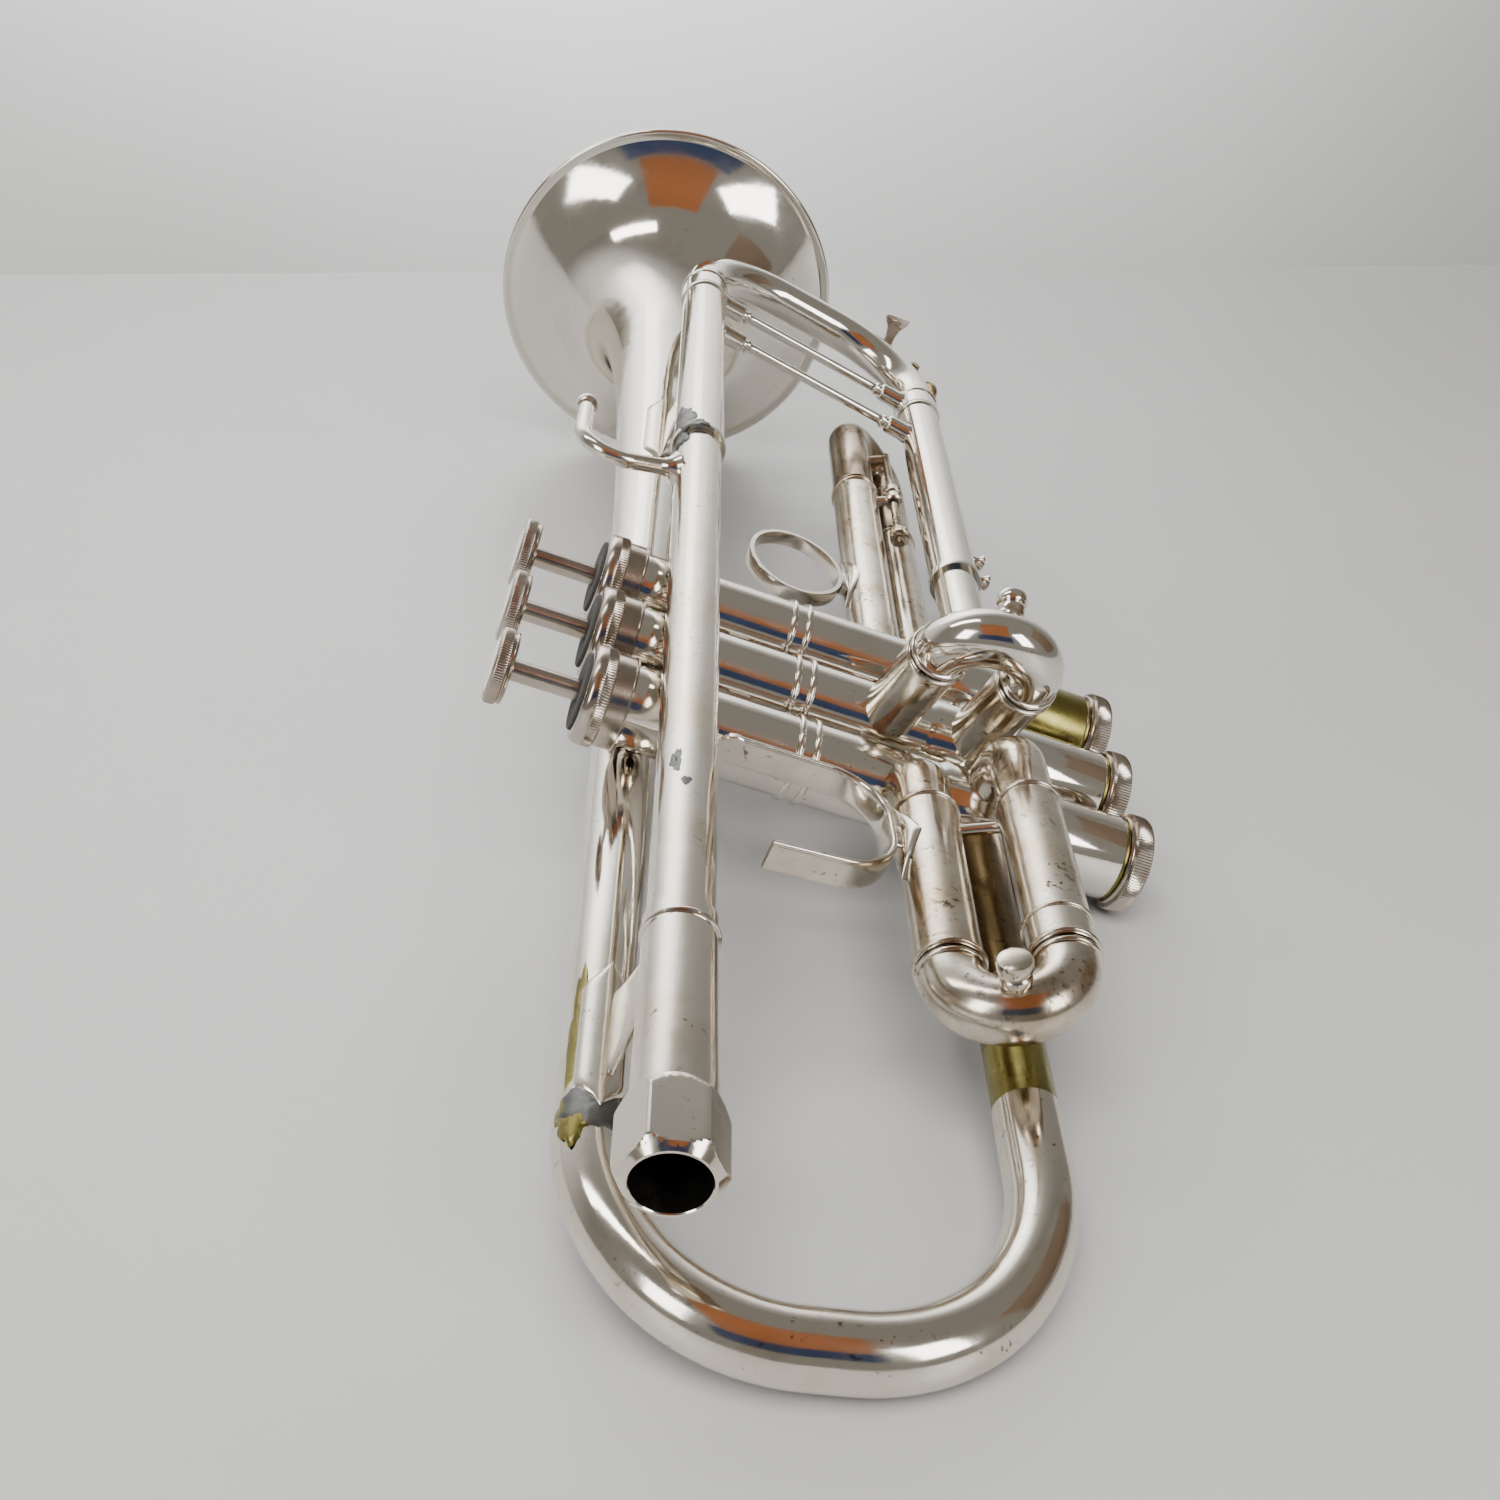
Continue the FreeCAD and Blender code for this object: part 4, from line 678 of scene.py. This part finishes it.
def slide_sleeve(leg, start, end, collar=None):
    """A valve slide's sleeve with a bead near each end."""
    side = 1 if end > start else -1
    profile = tube_profile(SLEEVE_RADIUS, SLEEVE_BORE, min(start, end), max(start, end))
    shapes = [lathe(profile, leg, Y, loop=True)]
    shapes += [bead(leg + Y * y, Y, SLEEVE_RADIUS) for y in (start + side * 0.8, end - side * 0.8)]
    if collar is not None:
        shapes.append(bead(leg + Y * collar, Y, SLEEVE_RADIUS, 0.45))
    return shapes


def elbows(valve_y, legs, start, side):
    """Two elbows from a casing to a slide's sleeves. side is +1 or -1 along Y."""
    bend, overlap = 9.0, 7.0
    shapes = []
    for leg, reach, depth in zip(legs, (10.5, 0.0), (0.4, 0.3)):
        corner = Vector((leg.x, valve_y + side * reach, leg.z))
        root = Vector((leg.x, valve_y, 0)).lerp(corner, depth)
        tip = Vector((leg.x, start + side * overlap, leg.z))
        shapes.append(sweep([root, corner, tip], bend, ELBOW_RADIUS, wall=WALL))
        shapes.append(bead(Vector((leg.x, start - side * 0.5, leg.z)), Y, ELBOW_RADIUS + 0.1, 0.4))
    return shapes


def crook(ends, way, leg_length):
    """A half-round bow between two slide legs that point the given way, with its collars."""
    collar_step = 0.9
    count, segments = 44, 48
    middle = (ends[0] + ends[1]) / 2
    reach = (ends[1] - ends[0]) / 2
    across = reach.normalized()
    normal = reach.cross(way).normalized()
    stations = [(ends[0] - way * leg_length, -across), (ends[0], -across)]
    for i in range(1, count):
        a = math.pi * i / count
        out = -reach * math.cos(a) + way * (reach.length * math.sin(a))
        stations.append((middle + out, out.normalized()))
    stations += [(ends[1], across), (ends[1] - way * leg_length, across)]
    rings = []
    for centre, out in stations:
        rings.append([centre + (out * math.cos(t) + normal * math.sin(t)) * CROOK_RADIUS
                      for t in (2 * math.pi * j / segments for j in range(segments))])
    collars = [bead(end - way * (leg_length - collar_step), way, CROOK_RADIUS + 0.05) for end in ends]
    return [skin(rings), *collars], middle + way * reach.length, normal


def knob(base, way):
    """A pull knob: a short stem, a disc, a groove and a rounded head."""
    profile = [(0, -1.0), (2.4, -1.0), (2.4, 0.6), (3.0, 0.9), (3.1, 1.3), (3.1, 2.3), (2.6, 2.8),
               (2.55, 3.2), (3.2, 3.5), (3.35, 3.8), (3.35, 5.2), (3.1, 5.8), (2.5, 6.05), (1.2, 6.15),
               (0, 6.2)]
    return lathe(profile, base, way, 48)


def inner_leg(root, way, start, end):
    """The leg of a slide, inside its sleeve."""
    return lathe(tube_profile(INNER_LEG_RADIUS, INNER_LEG_BORE, start, end), root, way, 56, loop=True)


def first_slide():
    sleeves = slide_sleeve(FIRST_LEGS[0], FIRST_START, FIRST_MOUTH)
    sleeves += slide_sleeve(FIRST_LEGS[1], FIRST_START, FIRST_MOUTH, collar=-88.5)
    build("first_slide_sleeves_skin", sleeves, SILVER_STAINED, stands_for=["first_slide_sleeves"])
    ends = [leg + Y * (FIRST_MOUTH - 2.0) for leg in FIRST_LEGS]
    shapes, top, normal = crook(ends, -Y, 1.4)
    if normal.z < 0:
        normal = -normal
    shapes.append(knob(top + normal * CROOK_RADIUS, normal))
    shapes += [inner_leg(leg, Y, FIRST_MOUTH - 0.8, -60.0) for leg in FIRST_LEGS]
    build("first_slide_crook_skin", shapes, SILVER_STAINED, "first_valve_slide", ["first_slide_crook"])


def third_slide():
    """Sleeves with the eye that guides the stop rod; crook, rod and its two nuts slide."""
    towards = (STOP_ROD - THIRD_LEGS[0]).normalized()
    eye_y, lug_y = 140.0, 170.0
    eye_root = THIRD_LEGS[0] + towards * 6.2 + Y * eye_y
    eye = [(2.2, -1.7), (2.7, -1.3), (2.7, 1.3), (2.2, 1.7), (1.5, 1.7), (1.5, -1.7)]
    shapes = [shape for leg in THIRD_LEGS for shape in slide_sleeve(leg, THIRD_START, THIRD_MOUTH)]
    shapes.append(sweep([eye_root, STOP_ROD - towards * 2.0 + Y * eye_y], 1.0, 1.6, 24))
    shapes.append(lathe(eye, STOP_ROD + Y * eye_y, Y, 40, loop=True))
    build("third_slide_sleeves_skin", shapes, SILVER_STAINED, stands_for=["third_slide_sleeves"])

    body = "third_valve_slide"
    leg_end = THIRD_MOUTH + 0.6
    shapes, _, _ = crook([leg + Y * THIRD_BOW for leg in THIRD_LEGS], Y, THIRD_BOW - leg_end)
    shapes += [inner_leg(leg, Y, 95.0, leg_end + 0.2) for leg in THIRD_LEGS]
    shapes.append(sweep([THIRD_LEGS[0] + towards * 5.8 + Y * lug_y, STOP_ROD + Y * lug_y], 1.0, 1.5, 24))
    # The crook, stop rod and nuts take the silver with painted shade, for the shadow they lie in.
    build("third_slide_crook_skin", shapes, SILVER_PAINTED_SHADE, body, ["third_slide_crook"])
    rod = [(0, 111.0), (1.0, 111.0), (1.2, 111.3), (1.2, 172.6), (1.0, 173.0), (0, 173.0)]
    build("third_slide_stop_rod_skin", [lathe(rod, STOP_ROD, Y, 32)], SILVER_PAINTED_SHADE, body,
          ["third_slide_stop_rod"])
    nut = [(1.2, 0.0), (2.1, 0.0), (2.9, 0.6), (2.9, 3.4), (2.1, 4.0), (1.2, 4.0)]
    edge = coin_edge(24, 0.14, 0.7, 3.3)
    nuts = [lathe(nut, STOP_ROD + Y * y, Y, 96, loop=True, ripple=edge) for y in (114.0, 142.4)]
    build("third_slide_stop_nuts_skin", nuts, SILVER_PAINTED_SHADE, body, ["third_slide_stop_nuts"])


def second_slide():
    sleeve_end, crook_start = 34.0, 36.0
    roots = [Vector((x, 0, 0)) for x in SECOND_X]
    sleeves = []
    for root in roots:
        profile = tube_profile(SLEEVE_RADIUS, SLEEVE_BORE, 6.5, sleeve_end)
        sleeves.append(lathe(profile, root, SECOND_WAY, loop=True))
        sleeves.append(bead(root + SECOND_WAY * (sleeve_end - 0.8), SECOND_WAY, SLEEVE_RADIUS))
    build("second_slide_sleeves_skin", sleeves, SILVER_STAINED, stands_for=["second_slide_sleeves"])
    shapes, top, normal = crook([root + SECOND_WAY * crook_start for root in roots], SECOND_WAY, 1.4)
    if normal.y < 0:
        normal = -normal
    shapes.append(knob(top + normal * CROOK_RADIUS, normal))
    shapes += [inner_leg(root, SECOND_WAY, 13.0, sleeve_end + 0.8) for root in roots]
    build("second_slide_crook_skin", shapes, SILVER_BRIGHT, "second_valve_slide", ["second_slide_crook"])


def slide_elbows():
    shapes = elbows(VALVE_Y[0], FIRST_LEGS, FIRST_START, -1) + elbows(VALVE_Y[2], THIRD_LEGS, THIRD_START, 1)
    build("valve_slide_elbows_skin", shapes, SILVER_STAINED, stands_for=["valve_slide_elbows"])


# ---------------------------------------------------------------- valves

def coin_edge(teeth, depth, low, high):
    """Straight knurling: radius changes round the rim, between two heights."""
    def ripple(angle, height):
        if height < low or height > high:
            return 0.0
        return depth * math.cos(teeth * angle)
    return ripple


def casings():
    """Casings with two rings each, a bare line above the bottom cap, and a worn band on the third."""
    bore, barrel = 8.35, BARREL_RADIUS
    profile = [(9.0, -16.0), (CASING_RADIUS, -15.8), (CASING_RADIUS, 61.0), (9.35, 61.6), (barrel, 62.6),
               (barrel, 105.9), (9.7, 106.3), (CASING_RADIUS, 106.4), (CASING_RADIUS, 110.0), (bore, 110.0),
               (bore, -16.0)]
    bare_line = [(9.3, 106.3), (9.5, 106.5), (9.5, 107.1), (CASING_RADIUS, 107.15), (CASING_RADIUS, 106.3)]
    worn_band = [(9.88, 90.0), (9.93, 90.4), (9.93, 105.8), (9.88, 106.0), (9.7, 106.0), (9.7, 90.0)]
    for number, y in enumerate(VALVE_Y, start=1):
        base = Vector((0, y, 0))
        shapes = [lathe(profile, base, X, 96, loop=True)]
        shapes += [bead(base + X * x, X, CASING_RADIUS, 0.75) for x in (28.2, 32.0)]
        brass = [bare_line, worn_band] if number == 3 else [bare_line]
        shapes += [(*lathe(outline, base, X, 96, loop=True), 1) for outline in brass]
        name = "valve_casing_%d" % number
        build(name + "_skin", shapes, [SILVER_BRIGHT, BRASS], stands_for=[name])


def caps():
    """Knurled top and bottom caps, and the felt on each top cap."""
    teeth = 110
    top_cap = [(2.8, -18.9), (2.8, -18.4), (8.6, -18.4), (8.6, -19.2), (9.2, -19.3), (10.3, -18.9),
               (10.9, -18.1), (11.0, -17.2), (11.0, -16.5), (10.9, -16.3), (10.9, -14.5), (10.7, -14.2),
               (10.3, -14.0), (10.3, -10.1), (10.6, -9.9), (10.6, -9.5), (9.25, -9.5), (9.25, -16.6),
               (2.8, -16.6)]
    bottom_cap = [(9.25, 107.2), (10.1, 107.2), (10.3, 107.5), (10.3, 107.9), (11.1, 108.2), (11.2, 108.7),
                  (11.2, 111.6), (11.0, 112.2), (10.4, 112.4), (9.4, 113.0), (6.4, 113.0), (5.9, 112.6),
                  (3.2, 112.4), (1.6, 112.5), (1.6, 111.0), (8.4, 111.0), (8.4, 110.05), (9.25, 110.05)]
    felt = [(2.8, -19.7), (3.1, -19.9), (8.3, -19.9), (8.6, -19.6), (8.6, -18.4), (2.8, -18.4)]
    for name, material, slot, outline, segments, ripple in (
            ("top_caps", WORN, "worn_plate", top_cap, teeth * 4, coin_edge(teeth, 0.11, -16.4, -14.4)),
            ("bottom_caps", WORN, "worn_plate", bottom_cap, teeth * 4, coin_edge(teeth, 0.13, 108.6, 111.7)),
            ("cap_felts", FELT, "black_felt", felt, 64, None)):
        shapes = [lathe(outline, Vector((0, y, 0)), X, segments, loop=True, ripple=ripple) for y in VALVE_Y]
        build(name + "_skin", shapes, material, stands_for=[name])


def buttons():
    """Stems, coin-edged buttons and their pearl inlays."""
    teeth = 90
    stem_radius, seat_radius = 2.35, 6.6
    stem = [(0, -37.6), (stem_radius, -37.6), (stem_radius, -12.3), (0, -12.3)]
    button = [(stem_radius, -34.8), (7.2, -34.8), (7.8, -35.0), (8.0, -35.4), (7.75, -35.7), (7.75, -35.9),
              (8.15, -36.2), (8.2, -36.5), (8.2, -38.1), (8.1, -38.5), (7.6, -38.9), (6.9, -39.0),
              (seat_radius, -38.8), (seat_radius, -38.1), (stem_radius, -38.1)]
    inlay = [(0, -38.1), (seat_radius, -38.1), (seat_radius, -38.75), (6.2, -38.95), (5.0, -39.2),
             (3.0, -39.35), (0, -39.4)]
    edge = coin_edge(teeth, 0.09, -38.2, -36.4)
    for number, y in enumerate(VALVE_Y, start=1):
        base = Vector((0, y, 0))
        rim = lathe(button, base, X, teeth * 4, loop=True, ripple=edge)
        for name, shape, material, slot in (
                ("valve_stem_%d", lathe(stem, base, X, 48), WORN, "worn_plate"),
                ("finger_button_%d", rim, WORN, "worn_plate"),
                ("button_inlay_%d", lathe(inlay, base, X, 72), PEARL, "pearl_inlay")):
            node = name % number
            build(node + "_skin", [shape], material, "valve_%d" % number, [node])


# ---------------------------------------------------------------- hooks, ring, small fittings

def pinky_hook():
    """A wire hook on the leadpipe, with a ball on its end and a flared foot."""
    path = [Vector((x, y, LEADPIPE_Z)) for x, y in ((-5.55, 66.5), (-31.0, 56.0), (-31.0, 86.5))]
    flare = [(0, 0.2), (4.3, 0.2), (4.3, 0.8), (3.6, 1.5), (2.7, 2.6), (2.2, 4.2), (2.05, 6.0)]
    foot = lathe(flare, path[0], path[1] - path[0], 40)
    shapes = [sweep(path, 10.0, 2.1, 32), ball(path[-1], 3.0), foot]
    build("pinky_hook_skin", shapes, SILVER, stands_for=["pinky_hook"])


def sleeve_plate(leg, middle, half_length, half_width, power):
    """A pointed plate under a fitting, on the side of a sleeve that faces the leadpipe."""
    return saddle(leg, SLEEVE_RADIUS, 1.0, middle - half_length, middle + half_length, 180,
                  lambda t: half_width * (1 - abs(2 * t - 1) ** power))


def finger_ring():
    """An oval flat band on the third slide's upper sleeve."""
    centre = Vector((36.3, 83.3, -8.0))
    half_x, half_y, band, width = 13.0, 16.2, 1.4, 4.0
    outline = [(-0.5, -0.38), (-0.42, -0.5), (0.42, -0.5), (0.5, -0.38)]
    outline += [(-t, -w) for t, w in outline]
    count = 96
    rings = []
    for i in range(count):
        a = 2 * math.pi * i / count
        point = centre + X * (half_x * math.cos(a)) + Y * (half_y * math.sin(a))
        out = (X * (math.cos(a) / half_x) + Y * (math.sin(a) / half_y)).normalized()
        rings.append([point + out * (t * band) + Z * (w * width) for t, w in outline])
    plate = sleeve_plate(THIRD_LEGS[0], centre.y, 13.0, 5.6, 1.6)
    neck = ribbon([centre + X * 13.5, centre + X * 16.2], 1.0, 4.0, 9.0, Z)
    shapes = [skin(rings, loop=True), plate, neck]
    build("finger_ring_skin", shapes, SILVER, stands_for=["finger_ring"], crease=32)


def thumb_hook():
    """A bent strip on the first slide's upper sleeve, with one rounded end."""
    z = FIRST_LEGS[0].z
    width, thickness = 7.0, 1.5
    foot_y = -61.0
    path = [(11.5, -46.0, z), (44.0, -46.0, z), (45.0, -76.0, z), (18.5, -78.3, z)]
    strip = ribbon(path, 12.5, width, thickness, Z)
    plate = sleeve_plate(FIRST_LEGS[0], foot_y, 12.0, 5.6, 1.1)
    neck = ribbon([(44.6, foot_y, z), (48.4, foot_y, z)], 1.0, 4.0, 7.0, Z)
    radius, half = width / 2, thickness / 2
    tip = [(0, -half), (radius - 0.2, -half), (radius, 0.2 - half), (radius, half - 0.2),
           (radius - 0.2, half), (0, half)]
    rounded_end = lathe(tip, path[0], Y, 48)
    build("thumb_hook_skin", [strip, plate, neck, rounded_end], SILVER, stands_for=["thumb_hook"])


def first_brace():
    """A rod across the first slide's sleeves with a drop-shaped plate on each."""
    across = (FIRST_LEGS[1] - FIRST_LEGS[0]).normalized()
    normal = -across.cross(Y)
    lift = normal * 5.6 + Y * -47.0
    facing = math.degrees(math.atan2(normal.z, normal.x))
    shapes = [sweep([FIRST_LEGS[0] + lift, FIRST_LEGS[1] + lift], 1.0, 1.3, 24)]
    for leg, lean in zip(FIRST_LEGS, (-14, 14)):
        shapes.append(saddle(leg, SLEEVE_RADIUS, 0.95, -55.5, -45.7, facing + lean,
                             lambda t: 4.3 * min(1.0, 1.25 * t ** 0.7) * min(1.0, 5 * (1.02 - t))))
    build("first_slide_brace_skin", shapes, SILVER, stands_for=["first_slide_brace"])


def studs():
    """Two small turned studs on the lower main sleeve."""
    profile = [(0, -0.6), (2.4, -0.6), (2.4, 0.5), (1.9, 1.1), (1.35, 1.7), (1.3, 3.0), (1.7, 3.9),
               (2.3, 4.5), (2.35, 5.1), (1.9, 5.4), (1.0, 5.1), (0, 5.0)]
    shapes = [lathe(profile, LOWER_LEG + X * 6.45 + Y * y - Z, X, 40) for y in (93.0, 105.0)]
    build("sleeve_studs_skin", shapes, SILVER, stands_for=["sleeve_studs"])


def water_key():
    """Cork, cup, arm and T-shaped finger touch of the water key."""
    way = bow_outward(NIPPLE_ANGLE)
    base = bow_surface(NIPPLE_ANGLE, 1.6)
    cork = lathe([(0, 0.02), (3.5, 0.02), (3.7, 0.3), (3.7, 2.1), (0, 2.1)], base, way, 48)
    build("water_key_cork_skin", [cork], CORK, "water_key", ["water_key_cork"])
    cup = lathe([(3.75, 0.5), (4.3, 0.5), (4.4, 0.8), (4.4, 2.3), (4.1, 2.9), (3.2, 3.4), (1.2, 3.7),
                 (0, 3.75), (0, 2.2), (3.75, 2.2)], base, way, 56)
    pivot = bow_surface(40, 4.0)
    touch_x, touch_y = 71.5, 252.0
    path = [base + way * 2.6, pivot, Vector((touch_x, touch_y, pivot.z + 1.0))]
    arm = sweep(path, 1.5, lambda s: 1.25 - 0.2 * math.sin(math.pi * s), 28)
    hub = lathe([(0, -2.2), (1.9, -2.2), (2.1, -2.0), (2.1, 2.0), (1.9, 2.2), (0, 2.2)], pivot,
                bow_outward(0).cross(Y), 36)
    corners = [(-1, -0.5), (-0.9, -0.8), (0.9, -0.8), (1, -0.5)]
    corners += [(-x, -y) for x, y in corners]
    rows = []
    for height, half in ((1.5, 1.7), (9.0, 1.6), (12.2, 2.3), (14.6, 4.1), (16.4, 4.3), (16.7, 4.0)):
        rows.append([Vector((touch_x + x * half, touch_y + y, height)) for x, y in corners])
    shapes = [(*cup, 1), arm, hub, skin(closed(rows))]
    build("water_key_lever_skin", shapes, [WORN, GILT], "water_key", ["water_key_lever"])


def recolour():
    """Better materials on the CAD pieces that stay as they are."""
    finishes = {
        "valve_knuckles": SILVER_STAINED, "water_key_saddle": WORN, "water_key_screw": BRASS,
        "water_key_spring": BRASS, "main_slide_legs": SILVER, "valve_guides": BRASS,
    }
    for number in (1, 2, 3):
        finishes["piston_%d" % number] = WORN
        finishes["valve_spring_%d" % number] = WORN
        finishes["stem_felt_%d" % number] = FELT
    for name, material in finishes.items():
        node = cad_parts[name]
        for slot in node.material_slots:
            slot.material = material


# ---------------------------------------------------------------- stage, light and camera

def stage_material(name, colour, rough):
    material, nodes, links, shader = new_material(name)
    grain = noise(nodes, links, 3.0, 4.0, 0.5)
    darker = tuple(c * 0.93 for c in colour)
    links.new(ramp(nodes, links, grain, [(0.3, darker), (0.7, colour)]), shader.inputs["Base Color"])
    shader.inputs["Roughness"].default_value = rough
    return material


def plane(name, corners, material):
    mesh = bpy.data.meshes.new(name)
    mesh.from_pydata(corners, [], [(0, 1, 2, 3)])
    mesh.materials.append(material)
    thing = bpy.data.objects.new(name, mesh)
    bpy.context.scene.collection.objects.link(thing)
    return thing


def area_light(name, position, target, size, power, colour=(1, 1, 1)):
    data = bpy.data.lights.new(name, "AREA")
    data.shape = "RECTANGLE"
    data.size, data.size_y = size
    data.energy = power
    data.color = colour
    lamp = bpy.data.objects.new(name, data)
    lamp.location = position
    lamp.rotation_euler = (Vector(target) - Vector(position)).to_track_quat("-Z", "Y").to_euler()
    bpy.context.scene.collection.objects.link(lamp)
    return lamp


def card(name, centre, target, size, colour):
    """A matt card that only reflections see."""
    facing = (Vector(target) - Vector(centre)).to_track_quat("Z", "Y")
    corners = []
    for a, b in ((-1, -1), (1, -1), (1, 1), (-1, 1)):
        corners.append(Vector(centre) + facing @ Vector((a * size[0] / 2, b * size[1] / 2, 0)))
    thing = plane(name, corners, stage_material(name, colour, 0.8))
    thing.visible_camera = False
    thing.visible_shadow = False
    thing.visible_diffuse = False
    return thing


def stage():
    """A pale floor and wall; their meeting line crosses behind the bell, square to the camera."""
    edge, along = Vector((0.012, 0.57, 0)), Vector((0.932, 0.361, 0)).normalized()
    back = Vector((-along.y, along.x, 0))
    left, right = edge - along * 4, edge + along * 4
    gap = back * 0.6            # the wall stands this far behind the floor's edge
    floor = stage_material("floor_paint", (0.40, 0.395, 0.388), 0.40)
    wall = stage_material("wall_paint", (0.86, 0.865, 0.86), 0.55)
    plane("floor", [left - back * 4, right - back * 4, right, left], floor)
    plane("wall", [left + gap - Z, right + gap - Z, right + gap + Z * 3, left + gap + Z * 3], wall)


def lighting():
    """A soft room: two windows behind the camera, a strip overhead, and cards that the metal reflects."""
    world = bpy.data.worlds.new("studio")
    bpy.context.scene.world = world
    world.use_nodes = True
    room = world.node_tree.nodes["Background"]
    room.inputs["Color"].default_value = (0.92, 0.87, 0.79, 1)
    room.inputs["Strength"].default_value = 0.27
    soft = area_light("soft", (-0.15, -0.85, 1.35), (0, -0.3, 0), (1.1, 1.1), 36.0, (1.0, 0.995, 0.985))
    soft.visible_glossy = False
    wash = area_light("wall_wash", (-0.3, 0.0, 1.1), (-0.25, 1.2, 0.75), (0.8, 0.5), 20.0, (0.98, 0.99, 1.0))
    wash.data.spread = math.radians(65)
    wash.visible_glossy = False
    area_light("overhead", (-0.70, 0.15, 1.2), (0, 0.1, 0), (0.2, 0.9), 5.0, (1.0, 0.985, 0.95))
    horn_middle = (0, 0, 0.05)
    area_light("window_right", (0.95, -0.95, 0.80), horn_middle, (0.5, 0.8), 10.0, (0.98, 0.99, 1.0))
    area_light("window_left", (-0.95, -0.95, 0.80), horn_middle, (0.45, 0.8), 8.0, (0.98, 0.99, 1.0))
    card("wood_card", (0.02, -0.85, 1.30), horn_middle, (1.0, 1.1), (0.34, 0.115, 0.035))
    card("blue_card", (0.02, -1.20, 0.66), horn_middle, (1.1, 0.42), (0.012, 0.028, 0.085))
    card("shade_right", (1.25, 0.15, 0.55), horn_middle, (0.9, 0.8), (0.13, 0.09, 0.06))


def camera():
    """The eye stands behind and above the mouthpiece end; its axes are given in the horn's frame."""
    centre = place((-58.4, -344.0, 194.0))
    turn = HORN.to_3x3()
    level = (turn @ Vector((0.933, -0.009, 0.359))).normalized()
    forward = (turn @ Vector((0.205, 0.834, -0.512))).normalized()
    up = level.cross(forward).normalized()
    right = forward.cross(up).normalized()
    data = bpy.data.cameras.new("view")
    data.sensor_width = 36.0
    data.lens = 42.0
    data.clip_start = 0.01
    eye = bpy.data.objects.new("view", data)
    rotation = Matrix((right, up, -forward)).transposed().to_4x4()
    eye.matrix_world = Matrix.Translation(centre) @ rotation
    bpy.context.scene.collection.objects.link(eye)
    bpy.context.scene.camera = eye


for make in (receiver, leadpipe, main_sleeves, main_slide_bow, bell, bell_bow, bell_braces, blemishes,
             first_slide, second_slide, third_slide, slide_elbows, casings, caps, buttons, pinky_hook,
             finger_ring, thumb_hook, first_brace, studs, water_key, recolour, stage, lighting, camera):
    make()
